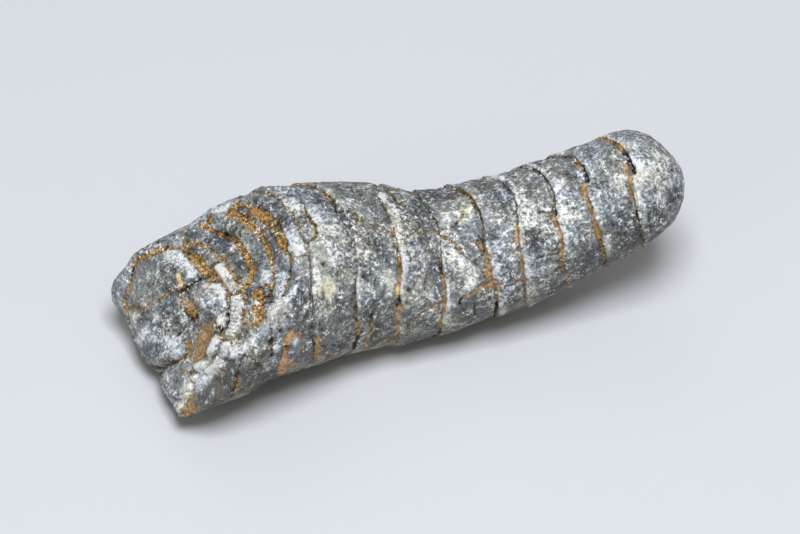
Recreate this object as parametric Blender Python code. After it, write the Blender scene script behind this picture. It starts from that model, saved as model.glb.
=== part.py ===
"""Orthoceras fossil: a straight nautiloid cone in grey limestone, broken across its wide end."""

import math

import bmesh
import bpy
import numpy as np
from mathutils import Vector, noise

# All sizes are in millimetres and all angles in degrees until the mesh is written.

# Middle line of the cone, from the broken end to the blunt tip: x, y, height, radius.
STATIONS = np.array([
    (-54.2, -7.9, 20.0, 17.0),
    (-36.8, -1.9, 16.9, 15.6),
    (-25.5, 0.9, 15.5, 14.7),
    (-15.2, 2.7, 13.6, 13.6),
    (-5.7, 2.4, 12.2, 12.3),
    (3.6, 1.2, 11.2, 11.0),
    (12.9, 0.3, 13.0, 10.4),
    (22.3, -0.7, 16.0, 9.5),
    (30.4, -0.6, 19.0, 9.1),
    (35.8, -1.6, 20.8, 8.6),
])
END_ROOT_X = -26.0
TIP_ROOT_X = 34.0
END_FAN = 14.5
TIP_FAN = 8.6
TIP_FLATNESS = 0.92

# Breaks across the wide end: azimuth and elevation of the outward normal, distance from origin.
BREAKS = [
    (193.0, 30.0, 37.43),
    (193.0, 62.0, 30.94),
    (184.3, -27.6, 34.47),
    (104.5, 27.8, 26.85),
]
BREAK_ROUNDING = 2.0
# A ray never reaches further than this, and a leaning ray counts as no steeper than this.
LONGEST_RAY = 200.0
LEAST_COSINE = 0.12
LEAST_FACING = 0.001

# Sutures between the chambers. Each row is one suture, as the distance along the cone from
# END_ROOT_X at each of these angles: 0 is the top, 90 the front, 180 the underside.
SEAM_ANGLES = [-110, -40, -20, 0, 15, 40, 70, 110, 180]
SEAMS = [
    (4.9, 6.5, 7.7, 8.5, 8.3, 5.3, 4.1, 4.9, 4.5),
    (11.9, 11.7, 12.5, 13.3, 14.1, 15.0, 14.6, 15.9, 14.3),
    (21.7, 22.4, 22.1, 21.4, 21.7, 22.5, 22.6, 23.7, 22.9),
    (27.7, 28.9, 29.9, 31.2, 31.8, 30.8, 30.6, 29.7, 28.4),
    (34.9, 36.3, 37.8, 39.5, 40.0, 39.0, 38.5, 37.3, 35.7),
    (41.1, 42.5, 44.5, 45.7, 46.1, 44.7, 43.7, 42.6, 41.5),
    (46.5, 48.1, 50.7, 51.8, 51.7, 50.3, 49.3, 48.3, 47.0),
    (52.5, 54.2, 56.3, 57.3, 57.1, 55.8, 55.1, 53.8, 52.4),
    (58.3, 60.1, 61.9, 63.9, 64.3, 63.5, 63.2, 62.4, 60.1),
]
SEAM_DEPTHS = [0.25, 0.35, 0.45, 0.45, 0.65, 0.6, 0.65, 0.8, 0.9]
SEAM_HALF_WIDTH = 0.6
# Each chamber is fuller at its wide end, swells a little in the middle, and dips over the
# last part of its length to the next suture.
CHAMBER_STEP = 0.5
CHAMBER_SWELL = 0.3
CHAMBER_DIP = 1 / 3
TIP_MARGIN = 3.0

# Layers that stand out as low terraces round the hollow of the broken end: radius from the
# hollow, as seen square to the break, and the height of each edge.
END_CENTRE = (-34.9, 0.4, 16.2)
END_VIEW = (253.0, 48.5)
TERRACES = [(9.3, 0.55), (14.3, 0.4), (17.4, 0.4), (20.6, 0.35)]
TERRACE_LENGTH = 3.2
TERRACE_FADE = (0.1, 0.4)
# Lumps and hollows of the skin, most of them on the break: x, y, z, radius, height.
LUMPS = [
    (-41.3, 11.4, 9.6, 4.4, 2.5),
    (-38.2, 7.4, 13.3, 3.2, 0.6),
    (-39.5, 1.4, 8.8, 4.0, 0.9),
    (-32.0, -2.1, 18.2, 1.9, 1.2),
    (-34.9, 1.8, 16.6, 2.0, -1.8),
    (-34.6, -1.4, 15.9, 1.8, -1.2),
    (-30.4, -7.4, 18.4, 1.3, -1.2),
    (-27.3, 6.5, 21.7, 1.5, -1.0),
    (-38.2, -8.2, 7.2, 2.2, 0.9),
    (-34.0, -6.4, 14.9, 2.0, -0.7),
    (-38.7, -11.5, 5.0, 2.6, 1.9),
    (-42.2, 6.2, 5.8, 4.0, 0.5),
    (-41.6, 13.6, 12.0, 3.4, 0.9),
    (-35.1, -14.5, 10.0, 4.0, 0.8),
    (-26.0, -13.8, 11.3, 1.6, -1.3),
    (40.5, -2.5, 24.9, 4.0, 0.9),
    (41.0, -5.3, 21.2, 4.5, 0.25),
]
# Loose relief of the weathered stone: wavelength, height.
ROUGHNESS = [(9.0, 0.35), (3.4, 0.28), (1.7, 0.14)]
ROUGHNESS_SHIFT = 17.0

# Height by which the worn belly is cut flat, and the middle of the whole seen from above.
BELLY_CUT = 0.45
MIDDLE = (-0.13, 0.63)

RIM_SEARCH = 400
SEGMENTS = 60
END_RINGS = 17
RIM_RINGS = 6
CHAMBER_RINGS = 2
TIP_RINGS = 7
MM = 0.001


def unit(azimuth, elevation):
    """Direction with this azimuth and elevation."""
    a, e = math.radians(azimuth), math.radians(elevation)
    return np.array([math.cos(a) * math.cos(e), math.sin(a) * math.cos(e), math.sin(e)])


def smooth_through(xs, rows, at):
    """Values at the places `at` of a smooth curve through the rows."""
    slopes = np.gradient(rows, xs, axis=0)
    i = np.clip(np.searchsorted(xs, at) - 1, 0, len(xs) - 2)
    step = xs[i + 1] - xs[i]
    f = (at - xs[i]) / step
    if rows.ndim > 1:
        step, f = step[..., None], f[..., None]
    start = (2 * f**3 - 3 * f**2 + 1) * rows[i] + (f**3 - 2 * f**2 + f) * step * slopes[i]
    return start + (3 * f**2 - 2 * f**3) * rows[i + 1] + (f**3 - f**2) * step * slopes[i + 1]


FINE_X = np.linspace(STATIONS[0, 0], STATIONS[-1, 0], 500)
SPINE = smooth_through(STATIONS[:, 0], STATIONS, FINE_X)
STEPS = np.linalg.norm(np.diff(SPINE[:, :3], axis=0), axis=1)
RUN = np.concatenate([[0.0], np.cumsum(STEPS)])
END_RUN = np.interp(END_ROOT_X, FINE_X, RUN)
LENGTH = np.interp(TIP_ROOT_X, FINE_X, RUN) - END_RUN
SPINE_WAY = np.gradient(SPINE[:, :3], RUN, axis=0)
END_POLE = -END_FAN * math.pi / 2
TIP_POLE = LENGTH + TIP_FAN * math.pi / 2


def softer_least(a, b, blend):
    """The smaller of a and b, rounded where they cross."""
    h = np.clip(0.5 + 0.5 * (b - a) / blend, 0, 1)
    return b * (1 - h) + a * h - blend * h * (1 - h)


def rays(along, round_angle):
    """Root, direction and length of the ray that reaches each surface point."""
    run = np.clip(along, 0, LENGTH) + END_RUN
    root = np.stack([np.interp(run, RUN, SPINE[:, k]) for k in range(3)], axis=-1)
    radius = np.interp(run, RUN, SPINE[:, 3])
    way = np.stack([np.interp(run, RUN, SPINE_WAY[:, k]) for k in range(3)], axis=-1)
    way /= np.linalg.norm(way, axis=-1, keepdims=True)
    side = np.cross(way, [0.0, 0.0, 1.0])
    side /= np.linalg.norm(side, axis=-1, keepdims=True)
    up = np.cross(side, way)
    turn = np.radians(round_angle)[..., None]
    out = np.cos(turn) * up + np.sin(turn) * side
    past = np.clip(along - LENGTH, 0, None) / TIP_FAN
    lean = np.clip(along, None, 0) / END_FAN + past
    direction = np.cos(lean)[..., None] * out + np.sin(lean)[..., None] * way
    length = radius / np.hypot(np.cos(lean), np.sin(lean) / TIP_FLATNESS)
    length = np.where(lean < 0, radius / np.maximum(np.cos(lean), LEAST_COSINE), length)
    for azimuth, elevation, distance in BREAKS:
        normal = unit(azimuth, elevation)
        facing = direction @ normal
        reach = (distance - root @ normal) / np.maximum(facing, LEAST_FACING)
        length = softer_least(length, np.minimum(reach, LONGEST_RAY), BREAK_ROUNDING)
    return root, direction, length


def seam_at(number, round_angle):
    """Distance along the cone of one suture at each angle."""
    angles = np.array([a + 360 * turn for turn in (-1, 0, 1) for a in SEAM_ANGLES], float)
    turned = (np.asarray(round_angle) + 180) % 360 - 180
    return smooth_through(angles, np.tile(SEAMS[number], 3).astype(float), turned)


def chamber_relief(along, round_angle):
    """Height of the chambers and of the grooves between them."""
    height = np.zeros_like(along)
    lines = [seam_at(n, round_angle) for n in range(len(SEAMS))]
    for n, line in enumerate(lines):
        after = lines[n + 1] if n + 1 < len(lines) else np.full_like(line, TIP_POLE - TIP_MARGIN)
        f = np.clip((along - line) / (after - line), 0, 1)
        inside = (along >= line) & (along < after)
        shape = CHAMBER_STEP * (0.5 - f) + CHAMBER_SWELL * 4 * f * (1 - f)
        height += np.where(inside, shape * np.minimum(1, (1 - f) / CHAMBER_DIP), 0)
    for line, depth in zip(lines, SEAM_DEPTHS):
        height -= depth * np.clip(1 - np.abs(along - line) / SEAM_HALF_WIDTH, 0, 1)
    return height


def end_relief(points, directions):
    """Height of the terraces, lumps and hollows on the broken end."""
    view = unit(*END_VIEW)
    across = np.array([-view[1], view[0], 0.0]) / math.hypot(view[0], view[1])
    upward = np.cross(view, across)
    from_centre = points - np.array(END_CENTRE)
    u, v = from_centre @ across, from_centre @ upward
    far = np.hypot(u, v)
    height = np.zeros_like(u)
    for radius, step in TERRACES:
        drop = np.clip(1 - (radius - far) / TERRACE_LENGTH, 0, 1)
        height += np.where(far < radius, step * drop, 0)
    break_normal = unit(*BREAKS[1][:2])
    height *= np.interp(directions @ break_normal, TERRACE_FADE, (0, 1))
    for x, y, z, radius, lift in LUMPS:
        away = np.linalg.norm(points - np.array([x, y, z]), axis=1)
        height += lift * np.exp(-((away / radius) ** 2))
    return height


def rough(points):
    """Height of the loose weathering at each point."""
    heights = np.zeros(len(points))
    for n, (wavelength, height) in enumerate(ROUGHNESS):
        spot = points / wavelength + ROUGHNESS_SHIFT * n
        heights += [height * noise.noise(Vector(p)) for p in spot]
    return heights


def surface(along, round_angle):
    """Finished surface points."""
    root, direction, length = rays(along, round_angle)
    plain = root + length[:, None] * direction
    height = chamber_relief(along, round_angle) + rough(plain)
    height += end_relief(plain, direction)
    points = root + (length + height)[:, None] * direction
    points[:, 2] = np.maximum(points[:, 2] - BELLY_CUT, 0)
    points[:, 0] -= MIDDLE[0]
    points[:, 1] -= MIDDLE[1]
    return points


def rim_at(round_angle):
    """Distance along the cone of the rim, where the break meets the cone at each angle."""
    steps = np.linspace(END_POLE, SEAMS[0][1], RIM_SEARCH)
    rim = []
    for angle in round_angle:
        root, direction, _ = rays(steps, np.full_like(steps, angle))
        lean = np.clip(steps, None, 0) / END_FAN
        run = np.clip(steps, 0, None) + END_RUN
        skin = np.interp(run, RUN, SPINE[:, 3]) / np.maximum(np.cos(lean), LEAST_COSINE)
        cut = np.zeros_like(steps, bool)
        for azimuth, elevation, distance in BREAKS[:3]:
            normal = unit(azimuth, elevation)
            cut |= distance - root @ normal < skin * (direction @ normal)
        rim.append(steps[np.flatnonzero(cut)[-1]])
    return np.array(rim)


def even_steps(start, stop, angle, shares):
    """Places that share out the length of the skin evenly from start to stop."""
    steps = np.linspace(start, stop, RIM_SEARCH)
    root, direction, length = rays(steps, np.full_like(steps, angle))
    places = root + length[:, None] * direction
    gaps = np.linalg.norm(np.diff(places, axis=0), axis=1)
    run = np.concatenate([[0.0], np.cumsum(gaps)])
    return np.interp(np.array(shares) * run[-1], run, steps)


def ring_places(angle, rim):
    """Distances along the cone of the mesh rings at one angle, from pole to pole."""
    seams = [float(seam_at(n, angle)) for n in range(len(SEAMS))]
    places = list(even_steps(END_POLE, rim, angle, np.arange(END_RINGS + 1) / END_RINGS))
    first = seams[0] - SEAM_HALF_WIDTH
    shares = np.arange(1, RIM_RINGS + 1) / (RIM_RINGS + 1)
    places += list(even_steps(rim, first, angle, shares))
    for here, after in zip(seams, seams[1:] + [None]):
        places += [here - SEAM_HALF_WIDTH, here, here + SEAM_HALF_WIDTH]
        if after:
            room = after - here - 2 * SEAM_HALF_WIDTH
            for k in range(CHAMBER_RINGS):
                places.append(here + SEAM_HALF_WIDTH + room * (k + 1) / (CHAMBER_RINGS + 1))
    shares = np.arange(1, TIP_RINGS + 2) / (TIP_RINGS + 1)
    places += list(even_steps(places[-1], TIP_POLE, angle, shares))
    return places


def build_fossil():
    """One closed skin from the broken end to the tip."""
    angles = -180 + 360 * np.arange(SEGMENTS) / SEGMENTS
    table = np.array([ring_places(a, rim) for a, rim in zip(angles, rim_at(angles))])
    rings = table.shape[1] - 1
    skin = bmesh.new()
    bmesh.ops.create_uvsphere(skin, u_segments=SEGMENTS, v_segments=rings, radius=1)
    flat = np.array([v.co for v in skin.verts])
    ring = np.rint(np.arccos(np.clip(flat[:, 2], -1, 1)) * rings / math.pi).astype(int)
    turned = np.degrees(np.arctan2(flat[:, 1], flat[:, 0])) + 180
    column = np.rint(turned * SEGMENTS / 360).astype(int) % SEGMENTS
    places = surface(table[column, ring], angles[column])
    for vert, place in zip(skin.verts, places):
        vert.co = Vector(place * MM)
    bmesh.ops.recalc_face_normals(skin, faces=skin.faces)
    mesh = bpy.data.meshes.new("fossil")
    skin.to_mesh(mesh)
    skin.free()
    return bpy.data.objects.new("fossil", mesh)


def limestone():
    """Plain grey limestone."""
    material = bpy.data.materials.new("limestone")
    material.use_nodes = True
    shader = material.node_tree.nodes["Principled BSDF"]
    shader.inputs["Base Color"].default_value = (0.235, 0.245, 0.26, 1)
    shader.inputs["Roughness"].default_value = 0.75
    return material


for old in list(bpy.data.objects):
    bpy.data.objects.remove(old)
collection = bpy.data.collections.new("orthoceras_fossil")
bpy.context.scene.collection.children.link(collection)
fossil = build_fossil()
fossil.data.materials.append(limestone())
collection.objects.link(fossil)
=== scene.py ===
# %% [markdown]
# # A weathered orthoceras in grey limestone
# An orthoceras was a straight-shelled relative of the squid. Its shell was a long cone, divided
# by thin walls into chambers. This one turned to limestone, snapped across its wide end and was
# worn smooth, so each wall now shows as a line round the stone. The lesson wraps one fine mesh
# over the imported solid, carves it in vertex code, and paints it with attributes and nodes.

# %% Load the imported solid
import math
import random

import bmesh
import bpy
import numpy as np
from mathutils import Matrix, Vector, kdtree, noise


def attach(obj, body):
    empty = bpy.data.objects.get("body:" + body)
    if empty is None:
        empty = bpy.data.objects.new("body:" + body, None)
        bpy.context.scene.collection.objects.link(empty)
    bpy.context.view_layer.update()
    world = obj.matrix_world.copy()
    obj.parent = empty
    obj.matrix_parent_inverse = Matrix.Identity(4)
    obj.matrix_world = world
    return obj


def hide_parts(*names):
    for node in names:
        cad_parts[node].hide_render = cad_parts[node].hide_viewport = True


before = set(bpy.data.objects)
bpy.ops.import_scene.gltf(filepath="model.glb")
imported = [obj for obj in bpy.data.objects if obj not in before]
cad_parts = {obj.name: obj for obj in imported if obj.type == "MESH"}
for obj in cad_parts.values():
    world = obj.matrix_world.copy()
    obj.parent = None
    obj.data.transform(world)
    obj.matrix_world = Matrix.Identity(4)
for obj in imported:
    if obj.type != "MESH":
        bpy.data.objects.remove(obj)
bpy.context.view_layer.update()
MM = 0.001

# %% [markdown]
# ## The worn cone
# The cone bends a little, so its middle line is a smooth curve through a few stations, each
# with its own radius. A broken end is flat where the rock snapped. It could be cut with a
# Boolean, but that leaves a hard edge, so here every ray from the middle line simply stops at
# the break planes, with the corner rounded off as weather does.

# %% Middle line and break planes, in millimetres
# Middle of the cone from the broken end to the blunt tip: x, y, height, radius.
STATIONS = np.array([
    (-54.2, -7.9, 20.0, 17.0),
    (-36.8, -1.9, 16.9, 15.6),
    (-25.5, 0.9, 15.5, 14.7),
    (-15.2, 2.7, 13.6, 13.6),
    (-5.7, 2.4, 12.2, 12.3),
    (3.6, 1.2, 11.2, 11.0),
    (12.9, 0.3, 13.0, 10.4),
    (22.3, -0.7, 16.0, 9.5),
    (30.4, -0.6, 19.0, 9.1),
    (35.8, -1.6, 20.8, 8.6),
])
END_ROOT_X, TIP_ROOT_X = -26.0, 34.0
END_FAN, TIP_FAN = 14.5, 8.6
TIP_FLATNESS = 0.92
# Azimuth and elevation of each break's outward normal, and its distance from the origin.
BREAKS = [
    (193.0, 30.0, 37.43),
    (193.0, 62.0, 30.94),
    (184.3, -27.6, 34.47),
    (104.5, 27.8, 26.85),
]
BREAK_ROUNDING = 2.0
LONGEST_RAY = 200.0
LEAST_COSINE = 0.12
LEAST_FACING = 0.001


def unit(azimuth, elevation):
    """Direction with this azimuth and elevation."""
    a, e = math.radians(azimuth), math.radians(elevation)
    return np.array([math.cos(a) * math.cos(e), math.sin(a) * math.cos(e), math.sin(e)])


def smooth_through(xs, rows, at):
    """Values at the places `at` of a smooth curve through the rows."""
    slopes = np.gradient(rows, xs, axis=0)
    i = np.clip(np.searchsorted(xs, at) - 1, 0, len(xs) - 2)
    step = xs[i + 1] - xs[i]
    f = (at - xs[i]) / step
    if rows.ndim > 1:
        step, f = step[..., None], f[..., None]
    start = (2 * f**3 - 3 * f**2 + 1) * rows[i] + (f**3 - 2 * f**2 + f) * step * slopes[i]
    return start + (3 * f**2 - 2 * f**3) * rows[i + 1] + (f**3 - f**2) * step * slopes[i + 1]


FINE_X = np.linspace(STATIONS[0, 0], STATIONS[-1, 0], 500)
SPINE = smooth_through(STATIONS[:, 0], STATIONS, FINE_X)
RUN = np.concatenate([[0.0], np.cumsum(np.linalg.norm(np.diff(SPINE[:, :3], axis=0), axis=1))])
END_RUN = np.interp(END_ROOT_X, FINE_X, RUN)
LENGTH = np.interp(TIP_ROOT_X, FINE_X, RUN) - END_RUN
SPINE_WAY = np.gradient(SPINE[:, :3], RUN, axis=0)
END_POLE = -END_FAN * math.pi / 2
TIP_POLE = LENGTH + TIP_FAN * math.pi / 2
print("length of the middle line, mm:", round(LENGTH, 1))


# %% Rays from the middle line to the skin
def softer_least(a, b, blend):
    """The smaller of a and b, rounded where they cross."""
    h = np.clip(0.5 + 0.5 * (b - a) / blend, 0, 1)
    return b * (1 - h) + a * h - blend * h * (1 - h)


def rays(along, round_angle):
    """Root, direction and length of the ray that reaches each point of the skin."""
    run = np.clip(along, 0, LENGTH) + END_RUN
    root = np.stack([np.interp(run, RUN, SPINE[:, k]) for k in range(3)], axis=-1)
    radius = np.interp(run, RUN, SPINE[:, 3])
    way = np.stack([np.interp(run, RUN, SPINE_WAY[:, k]) for k in range(3)], axis=-1)
    way /= np.linalg.norm(way, axis=-1, keepdims=True)
    side = np.cross(way, [0.0, 0.0, 1.0])
    side /= np.linalg.norm(side, axis=-1, keepdims=True)
    up = np.cross(side, way)
    turn = np.radians(round_angle)[..., None]
    out = np.cos(turn) * up + np.sin(turn) * side
    past = np.clip(along - LENGTH, 0, None) / TIP_FAN
    lean = np.clip(along, None, 0) / END_FAN + past
    direction = np.cos(lean)[..., None] * out + np.sin(lean)[..., None] * way
    length = radius / np.hypot(np.cos(lean), np.sin(lean) / TIP_FLATNESS)
    length = np.where(lean < 0, radius / np.maximum(np.cos(lean), LEAST_COSINE), length)
    for azimuth, elevation, distance in BREAKS:
        normal = unit(azimuth, elevation)
        facing = direction @ normal
        reach = (distance - root @ normal) / np.maximum(facing, LEAST_FACING)
        length = softer_least(length, np.minimum(reach, LONGEST_RAY), BREAK_ROUNDING)
    return root, direction, length


# %% [markdown]
# ## Sutures and chambers
# A suture is the line where a chamber wall met the shell. Each one wanders as it goes round,
# so it is a table of places: how far along the cone it lies at each angle. The mesh can then
# put its rings on these very lines, which keeps the grooves sharp with few faces.

# %% Suture lines
# Angles round the cone: 0 is the top, 90 the front and 180 the underside.
SEAM_ANGLES = [-110, -40, -30, -20, -12, -4, 4, 12, 20, 28, 36, 44, 52, 60, 68, 76, 84, 92, 100, 108, 118, 150, 180]
# Each row is one suture, as the distance along the cone at each of these angles.
SEAMS = [
    (4.9, 6.5, 7.9, 8.8, 9.0, 8.6, 8.0, 7.4, 6.8, 6.0, 5.5, 4.8, 4.2,
     4.0, 4.0, 4.0, 4.3, 4.6, 5.0, 5.4, 5.4, 4.7, 4.5),
    (11.9, 11.7, 12.3, 13.0, 13.5, 14.0, 14.6, 15.0, 15.2, 15.2, 15.1, 14.9, 14.5,
     14.5, 14.6, 14.8, 15.2, 15.6, 15.7, 15.9, 16.0, 15.3, 14.3),
    (21.7, 22.4, 21.7, 21.0, 21.1, 21.5, 21.7, 22.0, 22.2, 22.3, 22.6, 22.7, 22.5,
     22.4, 22.7, 22.7, 22.8, 23.1, 23.5, 23.8, 24.1, 23.5, 22.9),
    (27.7, 28.9, 28.9, 29.0, 29.3, 30.6, 31.6, 32.1, 31.9, 31.6, 31.2, 31.0, 30.8,
     30.8, 30.7, 30.4, 30.1, 29.8, 29.8, 29.7, 29.5, 28.9, 28.4),
    (34.9, 36.3, 37.3, 38.2, 39.0, 39.5, 39.8, 39.8, 39.8, 39.5, 39.1, 39.0, 39.0,
     38.8, 38.7, 38.7, 38.5, 38.2, 37.9, 37.8, 37.4, 36.3, 35.7),
    (41.1, 42.5, 43.8, 44.7, 45.4, 45.9, 46.2, 46.1, 45.8, 45.6, 45.2, 44.8, 44.6,
     44.3, 44.1, 43.7, 43.4, 43.1, 42.7, 42.3, 42.2, 41.9, 41.5),
    (46.5, 48.1, 50.1, 51.1, 51.6, 51.9, 52.0, 52.0, 51.7, 51.1, 50.6, 50.5, 50.4,
     50.0, 49.6, 49.3, 49.1, 48.9, 48.7, 48.5, 48.3, 47.5, 47.0),
    (52.5, 54.2, 55.6, 56.5, 57.0, 57.3, 57.5, 57.6, 57.3, 56.5, 56.4, 56.2, 55.8,
     55.6, 55.5, 55.1, 54.8, 54.4, 54.2, 54.0, 53.9, 52.8, 52.4),
    (58.3, 60.1, 61.3, 62.2, 63.0, 63.8, 64.2, 64.5, 64.5, 63.7, 63.5, 63.6, 63.5,
     63.4, 63.3, 63.1, 62.9, 62.9, 62.8, 62.6, 62.4, 61.1, 60.1),
]
SEAM_DEPTHS = [0.25, 0.35, 0.45, 0.45, 0.65, 0.6, 0.65, 0.8, 0.9]
CHAMBER_STEP, CHAMBER_SWELL, CHAMBER_DIP = 0.5, 0.3, 1 / 3
TIP_MARGIN = 3.0
# The chambers stand out least on the worn front.
WORN_FROM = 10.0


def seam_at(number, round_angle):
    """Distance along the cone of one suture at each angle."""
    angles = np.array([a + 360 * turn for turn in (-1, 0, 1) for a in SEAM_ANGLES], float)
    turned = (np.asarray(round_angle) + 180) % 360 - 180
    return smooth_through(angles, np.tile(SEAMS[number], 3).astype(float), turned)


# %% [markdown]
# ## A mesh whose rings follow the sutures
# A UV sphere has the right make-up for a closed, blunt log: rings from pole to pole and no
# holes. Its rings are shared out so that some fall exactly on each suture and the others are
# evenly spaced on the stone. The side with most markings gets closer columns.

# %% Ring and column places
RIM_SEARCH = 400
END_RINGS, RIM_RINGS, CHAMBER_RINGS, TIP_RINGS = 56, 15, 18, 44
SEAM_OFFSETS = (-0.6, -0.35, -0.15, 0.0, 0.15, 0.35, 0.6)
FINE_FROM, FINE_TO, FINE_STEP, COARSE_STEP = -52.0, 136.0, 1.0, 2.0


def rim_at(round_angle):
    """Distance along the cone of the rim, where the break meets the cone at each angle."""
    steps = np.linspace(END_POLE, min(SEAMS[0]), RIM_SEARCH)
    rim = []
    for angle in round_angle:
        root, direction, _ = rays(steps, np.full_like(steps, angle))
        lean = np.clip(steps, None, 0) / END_FAN
        run = np.clip(steps, 0, None) + END_RUN
        skin = np.interp(run, RUN, SPINE[:, 3]) / np.maximum(np.cos(lean), LEAST_COSINE)
        cut = np.zeros_like(steps, bool)
        for azimuth, elevation, distance in BREAKS[:3]:
            normal = unit(azimuth, elevation)
            cut |= distance - root @ normal < skin * (direction @ normal)
        rim.append(steps[np.flatnonzero(cut)[-1]])
    return np.array(rim)


def even_steps(start, stop, angle, shares):
    """Places that share out the length of the skin evenly from start to stop."""
    steps = np.linspace(start, stop, RIM_SEARCH)
    root, direction, length = rays(steps, np.full_like(steps, angle))
    places = root + length[:, None] * direction
    gaps = np.linalg.norm(np.diff(places, axis=0), axis=1)
    run = np.concatenate([[0.0], np.cumsum(gaps)])
    return np.interp(np.array(shares) * run[-1], run, steps)


def ring_places(angle, rim):
    """Distances along the cone of the mesh rings at one angle, from pole to pole."""
    seams = [float(seam_at(n, angle)) for n in range(len(SEAMS))]
    edge = SEAM_OFFSETS[-1]
    places = list(even_steps(END_POLE, rim, angle, np.arange(END_RINGS + 1) / END_RINGS))
    shares = np.arange(1, RIM_RINGS + 1) / (RIM_RINGS + 1)
    places += list(even_steps(rim, seams[0] - edge, angle, shares))
    for here, after in zip(seams, seams[1:] + [None]):
        places += [here + offset for offset in SEAM_OFFSETS]
        if after:
            room = after - here - 2 * edge
            steps = np.arange(1, CHAMBER_RINGS + 1) / (CHAMBER_RINGS + 1)
            places += list(here + edge + room * steps)
    shares = np.arange(1, TIP_RINGS + 2) / (TIP_RINGS + 1)
    places += list(even_steps(places[-1], TIP_POLE, angle, shares))
    return places


coarse = np.arange(FINE_TO, FINE_FROM + 360, COARSE_STEP)
columns = np.concatenate([np.arange(FINE_FROM, FINE_TO, FINE_STEP), coarse])
columns = (columns + 180) % 360 - 180
table = np.array([ring_places(a, rim) for a, rim in zip(columns, rim_at(columns))])
rings = table.shape[1] - 1
print("columns and rings:", len(columns), rings)

# %% Wrap the sphere round the cone
FIRST_COLUMN = 90.0
skin = bmesh.new()
bmesh.ops.create_uvsphere(skin, u_segments=len(columns), v_segments=rings, radius=1)
flat = np.array([v.co for v in skin.verts])
ring = np.rint(np.arccos(np.clip(flat[:, 2], -1, 1)) * rings / math.pi).astype(int)
# The sphere's first column of points lies on its +Y side, and the others follow in even steps.
turned = np.degrees(np.arctan2(flat[:, 1], flat[:, 0])) - FIRST_COLUMN
column = np.rint(turned * len(columns) / 360).astype(int) % len(columns)
along, angle = table[column, ring], columns[column]
root, direction, length = rays(along, angle)
plain = root + length[:, None] * direction
shared = len(plain) - len(set(zip(ring.tolist(), column.tolist())))
print("points:", len(plain), "and points that share a place:", shared)

# %% [markdown]
# ## Large relief
# The same relief as in the solid comes first: chambers that overlap like stacked cups, low
# terraces and lumps on the break, and loose weathering from three sizes of noise.

# %% Chambers, terraces, lumps and weathering
END_CENTRE = (-34.9, 0.4, 16.2)
END_VIEW = (253.0, 48.5)
TERRACES = [(9.3, 0.55), (14.3, 0.4), (17.4, 0.4), (20.6, 0.35)]
TERRACE_LENGTH = 3.2
TERRACE_FADE = (0.1, 0.4)
# Lumps and hollows: x, y, z, radius, height.
LUMPS = [
    (-41.3, 11.4, 9.6, 4.4, 2.5),
    (-38.2, 7.4, 13.3, 3.2, 0.6),
    (-39.5, 1.4, 8.8, 4.0, 0.9),
    (-32.0, -2.1, 18.2, 1.9, 1.2),
    (-34.9, 1.8, 16.6, 2.0, -1.8),
    (-34.6, -1.4, 15.9, 1.8, -1.2),
    (-30.4, -7.4, 18.4, 1.3, -1.2),
    (-27.3, 6.5, 21.7, 1.5, -1.0),
    (-38.2, -8.2, 7.2, 2.2, 0.9),
    (-34.0, -6.4, 14.9, 2.0, -0.7),
    (-38.7, -11.5, 5.0, 2.6, 1.9),
    (-42.2, 6.2, 5.8, 4.0, 0.5),
    (-41.6, 13.6, 12.0, 3.4, 0.9),
    (-35.1, -14.5, 10.0, 4.0, 0.8),
    (-26.0, -13.8, 11.3, 1.6, -1.3),
    (40.5, -2.5, 24.9, 4.0, 0.9),
    (41.0, -5.3, 21.2, 4.5, 0.25),
]
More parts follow.
